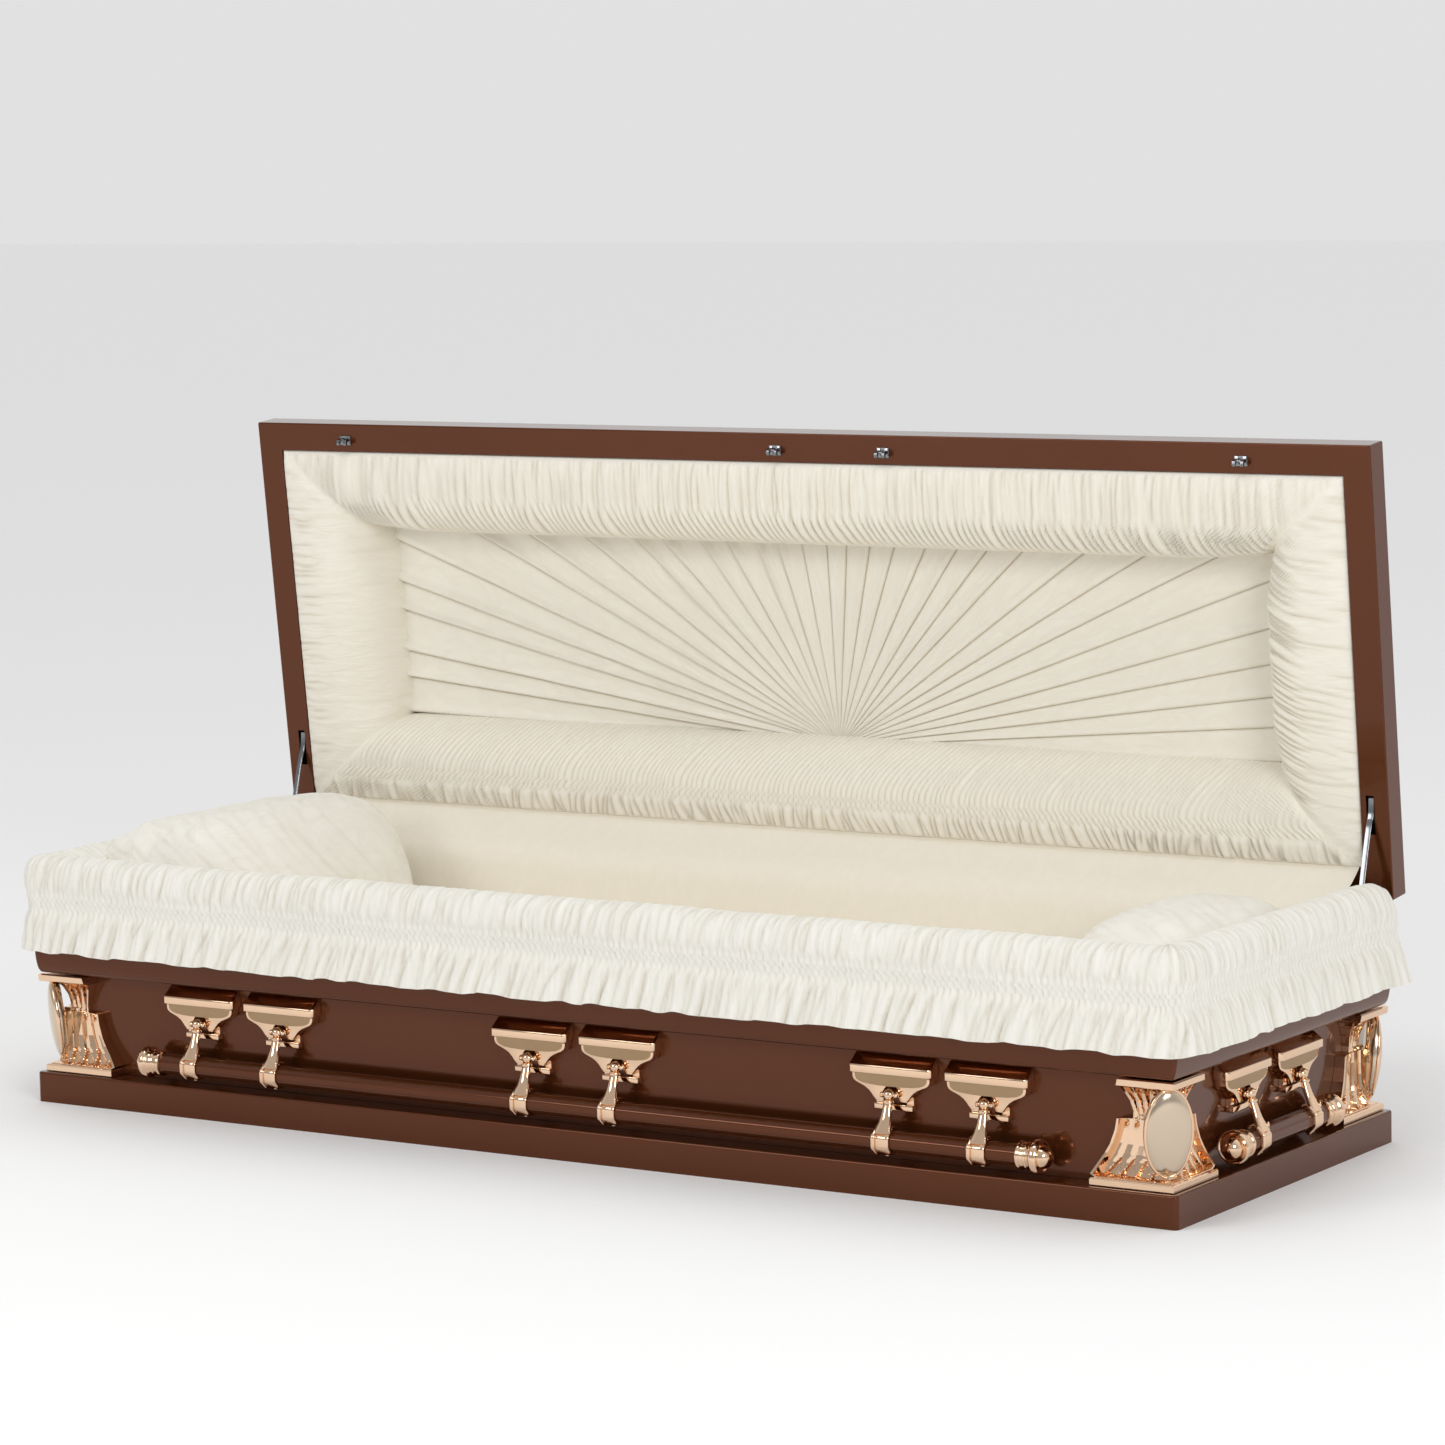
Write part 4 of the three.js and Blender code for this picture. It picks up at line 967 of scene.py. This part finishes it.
def makeHinge():
    start = -knuckles["pitch"] * knuckles["count"] / 2
    axisY, axisZ = casket["hingeY"], casket["hingeZ"]
    sleeve = [(0.6, 0), (0.6, 3.0), (1.2, 3.5), (25.8, 3.5), (26.4, 3.0), (26.4, 0)]
    sleeve = turned(sleeve, (0, 0, 0), "x", 14)
    near, far = knuckles["leafFaces"]
    for body, node, first, turn in (("box", "hinge_leaf_body", 0, 0.0),
                                    ("lid", "hinge_leaf_lid", 1, casket["openAngle"])):
        every = range(first, knuckles["count"], 2)
        spots = [(start + i * knuckles["pitch"], axisY, axisZ, 0.0) for i in every]
        piece = repeat(f"hingeSleeves_{body}", sleeve, spots, chrome)
        settle(piece, body, "painted_brown", node)
        low, high = knuckles["leafSpan"][body]
        c, s = math.cos(turn), math.sin(turn)
        flat = [(near, low), (far, low), (far, high), (near, high)]
        ring = [(axisY + y * c + z * s, axisZ - y * s + z * c) for y, z in flat]
        rings = [[(x, y, z) for y, z in ring] for x in (start, -start)]
        leaf = turnOut(addPiece(f"hingeLeaf_{body}", *loft(rings), brownPaint))
        settle(leaf, body, "painted_brown", node)


makeLid()
makeHooks()
makeStays()
makeHinge()
print("lid hardware built")


# Lid lining: gathered roll round a sunburst panel

roll = {
    "start": 47.9, "endX": 203, "endY": 184, "width": 140, "rows": 48, "step": 1.5, "mitre": 150,
    # inset from the flange and depth behind it, on a width of 140
    "slope": [(0, 13), (0.4, 6), (2, 1), (8, -2.5), (28, -6), (55, -4), (80, 5), (102, 21), (118, 41),
              (129, 66), (135, 88), (138, 108)],
    "bullnose": [(0, 13), (0.4, 6), (2, 1), (8, -2.5), (30, -7), (60, -9), (90, -7), (112, 1), (127, 13),
                 (135, 30), (138, 50), (137, 76), (135, 108)],
    "sides": {"top": "bullnose", "right": "bullnose", "bottom": "slope", "left": "slope"},
}


def rollFolds(side, along, share):  # how far the cloth is puffed out, and its painted shade: 1 on the flats, darker in the creases and valleys
    across = share * roll["width"]
    if side == "top":
        lines = creases(along, across, 11, 2.0, 11)
        fine = foldWave(along, across, 9.6, 0.5, 12, 0.6)
        upper = fade(share, 0.01, 0.07) * (1 - fade(share, 0.55, 0.8))
        puffs = foldWave(along - 40 * np.clip(share - 0.5, 0, 1), across, 13.5, 0.6, 13, 0.55)
        lower = fade(share, 0.5, 0.76)
        lift = (2.6 * lines + 1.2 * fine) * upper + 8.5 * puffs * lower
        shade = 0.6 * (1 - lines) * upper + 0.2 * (1 - fine) ** 2 * upper + 0.85 * (1 - puffs) ** 1.6 * lower
        return lift, 1 - shade
    if side == "bottom":
        rows = np.floor(np.clip((share - 0.30) / 0.04, 0, 3))
        bent = along - 36 * fade(share, 0.5, 1.05)
        fine = foldWave(bent + 5.2 * (rows % 2), across * 0.6, 10.4, 0.45, 21, 0.6)
        upper = fade(share, 0.27, 0.32) * (1 - 0.5 * fade(share, 0.75, 1))
        sway = 34 * (smoothNoise(along, 0, 70, 1, 24) - 0.3)
        tucks = creases(along - sway * np.clip(0.3 - share, 0, 1) / 0.3, across, 11, 2.6, 22, wander=0.5,
                        length=40, patchy=0.22)
        lower = (1 - fade(share, 0.25, 0.31)) * fade(share, 0.01, 0.06)
        lift = 3.4 * fine * upper + 5.6 * tucks * lower
        return lift, 1 - 0.6 * (1 - fine) ** 1.5 * upper - 0.75 * (1 - tucks) * lower
    if side == "left":
        lines = creases(along, across, 8.5, 2.2, 31, wander=0.5, length=34, patchy=0.42)
        outer = (1 - fade(share, 0.16, 0.55)) * fade(share, 0.0, 0.08)
        faint = creases(along, across, 17, 3.0, 32, patchy=0.55)
        return 3.0 * lines * outer + 1.2 * faint, 1 - 0.6 * (1 - lines) * outer - 0.2 * (1 - faint)
    puffs = creases(along - 62 * (share - 0.6), across, 9, 2.2, 41, wander=0.5, length=50, patchy=0.2)
    inner = fade(share, 0.4, 0.75)
    lines = creases(along - 20 * share, across, 13, 2.6, 42, wander=0.5, patchy=0.45)
    outer = 1 - fade(share, 0.5, 0.8)
    lift = 5.5 * puffs * inner + 2.4 * lines * outer
    return lift, 1 - 0.7 * (1 - puffs) * inner - 0.45 * (1 - lines) * outer


def makeRollSide(side):
    level = side in ("top", "bottom")
    spanX, spanY = roll["endX"] - roll["start"], roll["endY"] - roll["start"]
    across, longSpan = (spanY, spanX) if level else (spanX, spanY)
    long = halfX if level else halfY
    names = (roll["sides"][side], "slope", "bullnose")
    own, slope, nose = (curveThrough(roll[name], roll["rows"]) for name in names)
    shared = (slope + nose) / 2
    count = int(2 * (long - roll["start"]) / roll["step"])
    spot = np.linspace(-1, 1, count)[None, :]
    apart = fade((1 - np.abs(spot)) * (long - roll["start"]), 0, roll["mitre"])
    share = (shared[:, :1] + (own - shared)[:, :1] * apart) / roll["width"]
    depth = shared[:, 1:] + (own - shared)[:, 1:] * apart
    reach = long - roll["start"] - share * longSpan
    along = spot * reach
    run, rise = np.gradient(share * across, axis=0), np.gradient(depth, axis=0)
    slant = np.hypot(run, rise)
    lift, fold = rollFolds(side, along, share)
    seam = reach - np.abs(along)
    lift = lift * fade(seam, 0, 24) * fade(share, 0.002, 0.03)
    inset = roll["start"] + share * across + lift * rise / slant
    deep = depth - lift * run / slant
    if level:
        points = lidPlace(along, 2 * halfY - inset if side == "top" else inset, deep)
    else:
        points = lidPlace(inset - halfX if side == "left" else halfX - inset, halfY + along, deep)
    length = np.cumsum(slant, axis=0)
    uv = np.stack([along, length], -1) * 0.001
    # painted shade: darker in the roll's creases and valleys, faded out near the mitred seams
    piece = addPiece(f"lidRoll_{side}", points.reshape(-1, 3), gridFaces(*along.shape), lidCloth, uv,
                     1 - (1 - fold) * fade(seam, 0, 20))
    faceTowards(piece, (0, -1, -0.1))
    settle(piece, "lid", "lid_cloth", "lid_roll")


sunburst = {"centre": (12, 166), "halfX": 862, "low": 182, "high": 545, "depth": 106, "pleats": 32,
            "rows": 44, "ridge": 10, "groove": 4.5, "line": 1.6}


def makeSunburst():
    cx, cv = sunburst["centre"]
    low, high, wide = sunburst["low"], sunburst["high"], sunburst["halfX"]
    count = sunburst["pleats"]
    first = math.atan2(low - cv, wide)
    share = (np.arange(count + 1) + np.random.default_rng(5).uniform(-0.14, 0.14, count + 1)) / count
    share[0], share[-1] = 0, 1
    edges = first + (math.pi - 2 * first) * (share - 0.055 * np.sin(2 * math.pi * share))
    part = np.array([0, 0.02, 0.05, 0.1, 0.2, 0.35, 0.5, 0.62, 0.72, 0.8, 0.87, 0.92, 0.955, 0.98])
    outer = np.repeat(edges[1:] - edges[:-1], len(part))
    angle = np.repeat(edges[:-1], len(part)) + outer * np.tile(part, count)
    part = np.tile(part, count)
    left = fade(angle, math.pi / 2 - 0.05, math.pi / 2 + 0.25)
    c, s = np.cos(angle), np.sin(angle)
    far = np.minimum(np.where(c > 0, wide - cx, wide + cx) / np.maximum(np.abs(c), 1e-6),
                     (high - cv) / np.maximum(s, 1e-6))
    near = np.minimum((low - cv) / np.maximum(s, 1e-6), far * 0.995)
    radius = near + (far - near) * np.linspace(0, 1, sunburst["rows"])[:, None] ** 0.8
    x, v = cx + radius * c, cv + radius * s
    toLine = np.minimum(part, 1 - part) * outer * radius
    groove = np.exp(-toLine / (sunburst["line"] * (0.55 + 0.45 * left)))
    outward = np.where(angle > math.pi / 2, part, 1 - part)
    ridge = np.exp(-((outward - 0.88) / 0.11) ** 2) * (0.3 + 0.7 * left)
    small = creases(angle * 260, radius, 12, 2.2, 9, length=140) * (1 - fade(radius, 120, 360))
    uneven = 0.7 + 0.6 * smoothNoise(angle * 40, radius, 3, 90, 6)
    lift = sunburst["ridge"] * ridge * fade(radius, 20, 380) * uneven
    lift = lift - sunburst["groove"] * groove * fade(radius, 10, 60) + 1.4 * small
    wave = 3.0 * (smoothNoise(x, v, 170, 120, 8) - 0.5)
    points = lidPlace(x, v, sunburst["depth"] - lift + wave)
    uv = np.stack([np.broadcast_to(angle * 0.35, radius.shape), radius * 0.001], -1)
    # painted shade: darker along each pleat's groove, less near the centre
    panel = addPiece("sunburstPanel", points.reshape(-1, 3), gridFaces(*radius.shape), lidCloth, uv,
                     1 - 0.8 * groove * (0.25 + 0.75 * fade(radius, 30, 260)))
    faceTowards(panel, (0, -1, -0.1))
    settle(panel, "lid", "lid_cloth", "lid_panel")


for rollSide in ("top", "bottom", "left", "right"):
    makeRollSide(rollSide)
makeSunburst()
print("lid lining built")


# Interior of the box

cover = {"line": [(366, 436), (358, 428), (349, 417), (333, 402), (311, 386), (289, 370), (277.5, 350),
                  (273.5, 324), (272, 294), (271, 262)],
         "half": 1006, "rows": 28, "columns": 180}


def makeHingeCover():
    line = curveThrough(cover["line"], cover["rows"])
    share = np.linspace(0, 1, cover["rows"])[:, None]
    x = np.linspace(-1, 1, cover["columns"])[None, :] * (cover["half"] - 16 * share)
    sway = 2.4 * (smoothNoise(x, share * 100, 260, 60, 51) - 0.5) * np.sin(np.pi * share)
    y = line[:, :1] + sway
    z = line[:, 1:2] + sway * 0.5
    points = np.stack(np.broadcast_arrays(x, y, z), -1)
    uv = np.stack([x, np.broadcast_to(share * 180, x.shape)], -1) * 0.001
    piece = addPiece("hingeCover", points.reshape(-1, 3), gridFaces(*x.shape), smoothCloth, uv)
    faceTowards(piece, (0, -1, 0.3))
    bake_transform(piece)
    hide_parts("hinge_cover")


lining = {"rows": 22, "step": 10, "corner": 26,
          # inset and height
          "profile": [(50, 346), (50, 357), (56, 361), (66, 360), (72, 352), (74.5, 336), (75, 300),
                      (75.5, 262), (75, 232)]}


def makeLining():
    section = curveThrough(lining["profile"], lining["rows"])
    ring = np.array([boxRing(inset, inset, z, lining["corner"], 10) for inset, z in section])
    fine = []
    for k in range(ring.shape[1]):
        here, on = ring[:, k], ring[:, (k + 1) % ring.shape[1]]
        gap = np.linalg.norm(on[0] - here[0])
        steps = max(1, int(gap / lining["step"]))
        for t in np.arange(steps) / steps:
            fine.append(here + (on - here) * t)
    grid = np.array(fine).transpose(1, 0, 2)
    step = np.linalg.norm(np.diff(grid[0], axis=0, append=grid[0][:1]), axis=1)
    along = np.broadcast_to(np.concatenate([[0], np.cumsum(step)[:-1]])[None, :], grid.shape[:2])
    level = np.broadcast_to(np.linspace(0, 1, lining["rows"])[:, None], grid.shape[:2])
    soft = 3.2 * (smoothNoise(along, level * 100, 120, 60, 61) - 0.4) * fade(level, 0.25, 0.5)
    atEnd = np.abs(grid[..., 0]) / halfX > np.abs(grid[..., 1]) / halfY
    towards = -np.sign(grid) * np.stack([atEnd, ~atEnd, np.zeros_like(atEnd)], -1)
    grid = grid + towards * soft[..., None]
    uv = np.stack([along, level * 150], -1).reshape(-1, 2) * 0.001
    piece = addPiece("bodyLining", grid.reshape(-1, 3), gridFaces(*grid.shape[:2], wrapColumns=True),
                     smoothCloth, uv)
    settle(piece, "box", "ivory_cloth", "body_lining")


mattressForm = {"corner": 30, "profile": [  # inset and height
    (96, 226), (82, 229), (78, 236), (78, 246), (81, 253), (88, 258), (100, 260.4), (130, 261.4), (180, 262),
    (240, 262)]}


def makeMattress():
    rings = [boxRing(inset, inset, z, mattressForm["corner"], 8) for inset, z in mattressForm["profile"]]
    points, faces = loft(rings)
    spots = np.array(points)[:, :2] * 0.001
    mattress = turnOut(addPiece("mattressPad", points, faces, smoothCloth, spots, np.ones(len(points))))
    settle(mattress, "box", "ivory_cloth", "mattress")


cushions = {
    # half: widths to the left, to the right and to both sides
    # swell and square: how round each half is; rise: how steeply the top climbs to its peak
    # wedge: a straight slope on the right; voxel in metres, cap in mm
    "pillow": {
        "middle": (-836, 0), "half": (172, 216, 262), "z": (264, 458), "swell": (0.12, 0.47, 0.2),
        "square": (0.22, 0.62), "lean": 34, "wedge": True, "rise": 0.13, "peak": -770, "shirr": 0,
        "crinkle": 2.4, "seed": 71, "keep": 0.48, "voxel": 0.0085, "cap": 16},
    "foot_cushion": {
        "middle": (873, 29), "half": (110, 106, 218), "z": (264, 400), "swell": (0.45, 0.42, 0.42),
        "square": (0.5, 0.5), "lean": 0, "wedge": False, "rise": 0, "peak": 873, "shirr": 6,
        "crinkle": 2.0, "seed": 81, "keep": 0.55, "voxel": 0.008, "cap": 16},
}
cushionTuck = 0.95  # how far the sides turn under, in radians
cushionSink = 1.4  # how far a cushion settles into the mattress


def cushionForm(made):  # crowned form, fuller towards the head end
    rows, columns = 60, 160
    lift = np.linspace(-cushionTuck, math.pi / 2 - 0.02, rows)[:, None]
    turn = np.linspace(0, 2 * math.pi, columns, endpoint=False)[None, :]
    c, s, crown = np.cos(turn), np.sin(turn), np.cos(lift).clip(0)
    right = (c > 0) * 1.0
    square = made["square"][0] + (made["square"][1] - made["square"][0]) * right
    share = (np.sin(lift) + math.sin(cushionTuck)) / (1 + math.sin(cushionTuck))
    rightCrown = 1 - share if made["wedge"] else crown  # a wedge slopes straight down to its right edge
    half = np.where(c > 0, made["half"][1] * rightCrown ** made["swell"][1],
                    made["half"][0] * crown ** made["swell"][0])
    x = made["middle"][0] + half * np.sign(c) * np.abs(c) ** square
    x = x - made["lean"] * fade(-c, 0.2, 0.7) * fade(share, 0.62, 0.85)
    y = made["middle"][1] + made["half"][2] * crown ** made["swell"][2] * np.sign(s) * np.abs(s) ** square
    low, high = made["z"]
    z = low + (high - low - made["rise"] * np.maximum(0, made["peak"] - x)) * share
    return loft(np.stack(np.broadcast_arrays(x, y, z), -1))


def inflate(piece, voxel, cap):  # even mesh, swollen by a cloth run, each point held to a cap in mm
    remesh = piece.modifiers.new("even", "REMESH")
    remesh.mode, remesh.voxel_size, remesh.use_smooth_shade = "VOXEL", voxel, True
    baked(piece)
    rest = np.empty(len(piece.data.vertices) * 3)
    piece.data.vertices.foreach_get("co", rest)
    cloth = piece.modifiers.new("cloth", "CLOTH")
    cloth.settings.quality = 5
    cloth.settings.mass = 0.3
    cloth.settings.tension_stiffness = 15
    cloth.settings.compression_stiffness = 15
    cloth.settings.bending_stiffness = 0.3
    cloth.settings.use_pressure = True
    cloth.settings.uniform_pressure_force = 4
    cloth.settings.effector_weights.gravity = 0
    for step in range(1, 21):
        scene.frame_set(step)
    baked(piece)
    scene.frame_set(1)
    swollen = np.empty(len(rest))
    piece.data.vertices.foreach_get("co", swollen)
    move = (swollen - rest).reshape(-1, 3)
    far = np.linalg.norm(move, axis=1, keepdims=True)
    place = rest.reshape(-1, 3) + move * np.minimum(1, cap * 0.001 / np.maximum(far, 1e-9))
    piece.data.vertices.foreach_set("co", place.ravel())
    print(piece.name, "swollen by up to", round(float(far.max()) * 1000, 1), "mm before the cap")
    return piece


def makeCushion(node):
    made = cushions[node]
    piece = turnOut(addPiece(f"{node}Soft", *cushionForm(made), pillowCloth))
    inflate(piece, made["voxel"], made["cap"])
    finer = piece.modifiers.new("finer", "SUBSURF")
    finer.levels = finer.render_levels = 1
    mesh = baked(piece).data
    spots, normals = np.empty(len(mesh.vertices) * 3), np.empty(len(mesh.vertices) * 3)
    mesh.vertices.foreach_get("co", spots)
    mesh.vertices.foreach_get("normal", normals)
    spots, normals = spots.reshape(-1, 3) * 1000, normals.reshape(-1, 3)
    x, y, z = spots.T
    low, high = made["z"]
    upper = fade(z, low + 0.3 * (high - low), low + 0.6 * (high - low))
    diagonal = creases((x + y + 1.2 * z) * 0.6, (x - y) * 0.7, 12, 3.4, made["seed"], wander=0.8, length=60,
                       patchy=0.42)
    edge = made["middle"][0] - made["half"][0]
    nearLeft = 1 - fade(x, edge, edge + 110)
    shirr = creases(y, x + z, 14, 3.2, made["seed"] + 5, wander=0.5)
    broad = smoothNoise(x, y + z, 90, 80, made["seed"] + 3) - 0.6
    push = (made["crinkle"] * (diagonal - 1) + 5 * broad) * upper + made["shirr"] * (shirr - 1) * nearLeft
    place = spots + normals * push[:, None]
    place[:, 2] = np.maximum(place[:, 2], low - cushionSink)
    mesh.vertices.foreach_set("co", (place * 0.001).ravel())
    # painted shade: darker along the diagonal creases and in the shirred gathers near the left end
    shade = 0.3 * (1 - diagonal) * upper + (0.6 if made["shirr"] else 0.0) * (1 - shirr) * nearLeft
    fold = mesh.attributes.new("fold", "FLOAT", "POINT")
    fold.data.foreach_set("value", (1 - shade).astype(np.float32))
    mesh.shade_smooth()
    mesh.update()
    settle(piece, "box", "ivory_cloth", node)
    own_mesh(piece)


makeHingeCover()
makeLining()
makeMattress()
for cushionNode in cushions:
    makeCushion(cushionNode)
print("interior built")


# Apron: gathered overlay over the front and both ends

apron = {
    # distance out from the base's outer face and height, from the tucked edge to the hem
    "section": [(-60, 364), (-62, 376), (-57, 389), (-42, 401), (-17, 408), (6, 401), (18, 379), (20, 350),
                (15, 325), (20, 301), (32, 256)],
    "rows": 74, "step": 2.2, "corner": 22, "end": 336, "tuckEnd": 288, "split": 200, "cornerSteps": 28,
    "band": (0.60, 0.735),  # smocked rows, as a share of the way down
}


def apronPath():
    corner, step = apron["corner"], apron["step"]
    legs = []
    count = int((apron["end"] + halfY - corner) / step)
    down = np.linspace(apron["end"], -(halfY - corner), count)
    split = int(np.argmax(down < apron["split"]))
    legs.append([(-halfX, y, -1, 0) for y in down[:split + 1]])
    legs.append([(-halfX, y, -1, 0) for y in down[split:]])
    for sign in (-1, 1):
        turn = np.linspace(0, math.pi / 2, apron["cornerSteps"] + 1)
        turn = turn if sign < 0 else turn[::-1]
        legs.append([(sign * (halfX - corner) + corner * sign * math.cos(t),
                      -(halfY - corner) - corner * math.sin(t),
                      sign * math.cos(t), -math.sin(t)) for t in turn])
        if sign < 0:
            run = np.linspace(-(halfX - corner), halfX - corner, int(2 * (halfX - corner) / step))
            legs.append([(x, -halfY, 0, -1) for x in run])
    legs.append([(halfX, y, 1, 0) for y in down[split:][::-1]])
    legs.append([(halfX, y, 1, 0) for y in down[:split + 1][::-1]])
    return [np.array(leg) for leg in legs]


def apronFolds(along, level):  # how far the cloth is puffed out, and its painted shade: 1 on the flats, darker in the folds
    top, bottom = apron["band"]
    across = level * 250
    shirr = foldWave(along, across, 9.5, 0.5, 91, 0.6)
    inner = 1 - fade(level, 0.16, 0.3)
    lines = creases(along + 0.1 * across, across, 10.5, 2.8, 92, wander=0.5, length=40, patchy=0.32)
    puffs = foldWave(along, across, 19, 0.7, 93, 0.6)
    upper = fade(level, 0.12, 0.34) * (1 - fade(level, top - 0.05, top + 0.01))
    rows = np.floor(np.clip((level - top) / (bottom - top) * 4, 0, 3))
    smock = foldWave(along + 5.6 * (rows % 2), across * 0.2, 11.2, 0.3, 94, 0.6)
    band = fade(level, top - 0.04, top) * (1 - fade(level, bottom, bottom + 0.05))
    down = fade(level, bottom, 1.0)
    hang = foldWave(along + 0.14 * across, across * 0.5, 31, 0.9, 95, 0.55)
    folds = creases(along + 0.2 * across, across, 17, 3.6, 96, wander=0.6, length=60, patchy=0.3)
    small = foldWave(along, across, 13, 0.6, 97, 0.6)
    skirt = fade(level, bottom - 0.02, bottom + 0.06)
    swell = 5.0 * (smoothNoise(along, across, 150, 90, 98) - 0.5) * fade(level, 0.15, 0.4)
    seams = np.exp(-((level - top) / 0.010) ** 2) + np.exp(-((level - bottom) / 0.012) ** 2)
    lift = 2.2 * shirr * inner + (4.2 * lines + 1.8 * puffs) * upper + 2.4 * smock * band
    hung = (1.5 + 5.5 * down) * hang + 4.5 * folds + 2.0 * small * (1 - 0.8 * down)
    lift = lift + skirt * hung + swell - 0.7 * seams - 3
    # painted shade: darker in the shirred inner edge, the upper creases and puffs, and the smocked rows
    shade = 0.45 * (1 - shirr) ** 1.6 * inner + (0.62 * (1 - lines) + 0.15 * (1 - puffs) ** 2) * upper
    shade = shade + 0.55 * (1 - smock) ** 1.6 * band
    # painted shade in the skirt's folds and hanging waves
    deep = 0.6 * (1 - folds) + 0.45 * (1 - hang) ** 2 + 0.35 * (1 - small) ** 2 * (1 - down)
    shade = shade + skirt * deep
    return lift, 1 - shade


def makeApron():
    section = curveThrough(apron["section"], apron["rows"])
    lean = np.gradient(section, axis=0)
    lean /= np.linalg.norm(lean, axis=1)[:, None]
    outward = np.stack([-lean[:, 1], lean[:, 0]], 1)
    legs = apronPath()
    path = np.concatenate([legs[0]] + [leg[1:] for leg in legs[1:]])
    gaps = np.linalg.norm(np.diff(path[:, :2] + 25 * path[:, 2:], axis=0), axis=1)
    along = np.concatenate([[0], np.cumsum(gaps)])[None, :]
    along, level = np.broadcast_arrays(along, np.linspace(0, 1, apron["rows"])[:, None])
    isEnd = np.abs(path[:, 3]) < 1e-6
    late = fade(path[:, 1], 60, apron["end"])[None, :] * isEnd[None, :]
    last = fade(path[:, 1], apron["end"] - 46, apron["end"])[None, :] * isEnd[None, :]
    lift, fold = apronFolds(along, level)
    lift = lift * (1 - 0.8 * last) - 9 * last ** 2
    flare = 1 - 0.55 * (1 - fade(path[:, 0], -halfX + 10, -halfX + 260)) * (1 - fade(path[:, 1], 0, 250))
    out = np.where(section[:, :1] > 12, 12 + (section[:, :1] - 12) * flare[None, :], section[:, :1])
    out = out + lift * outward[:, :1] + 9 * late * fade(level, 0.4, 0.75)
    z = section[:, 1:2] + lift * outward[:, 1:2]
    z = z - 5 * fade(level, 0.85, 1) * (smoothNoise(along, 0, 30, 1, 99) - 0.3)
    inward = np.maximum(0, -out - apron["corner"])
    reach = np.maximum(out, -apron["corner"])
    x = path[:, 0] + path[:, 2] * reach - np.sign(path[:, 0]) * inward * (np.abs(path[:, 2]) > 1e-6)
    y = path[:, 1] + path[:, 3] * reach + inward * (np.abs(path[:, 3]) > 1e-6)
    y = y + late * 0.15 * np.maximum(0, 388 - z)
    y = y - late ** 3 * fade(-out, 8, 40) * (apron["end"] - apron["tuckEnd"])
    points = np.stack([x, y, z], -1)
    uv = np.stack([along, level * 255], -1) * 0.001
    squashes = {  # for each piece, the way it would fold in as the lid closes and a point of the plane it would fold to; only the piece names are used below
        "head_back": ((-0.72, 0.48, 0.5), (-0.935, 0.225, 0.275)),
        "head_end": ((-0.866, 0, 0.5), (-0.95, 0, 0.3)),
        "head_corner": ((-0.612, -0.612, 0.5), (-0.95, -0.25, 0.3)),
        "front": ((0, -0.866, 0.5), (0, -0.245, 0.3)),
        "foot_corner": ((0.612, -0.612, 0.5), (0.95, -0.25, 0.3)),
        "foot_end": ((0.866, 0, 0.5), (0.95, 0, 0.3)),
        "foot_back": ((0.72, 0.48, 0.5), (0.935, 0.225, 0.275)),
    }
    start = 0
    for leg, (name, (axis, anchor)) in zip(legs, squashes.items()):
        part = slice(start, start + len(leg))
        cut = points[:, part]
        piece = addPiece(f"apron_{name}", cut.reshape(-1, 3), gridFaces(*cut.shape[:2]), apronCloth,
                         uv[:, part], fold[:, part])
        middle = leg[len(leg) // 2]
        faceTowards(piece, (middle[2], middle[3], 0.6))
        settle(piece, "box", "ivory_cloth", "apron")
        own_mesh(piece)
        start += len(leg) - 1


makeApron()
print("apron built")
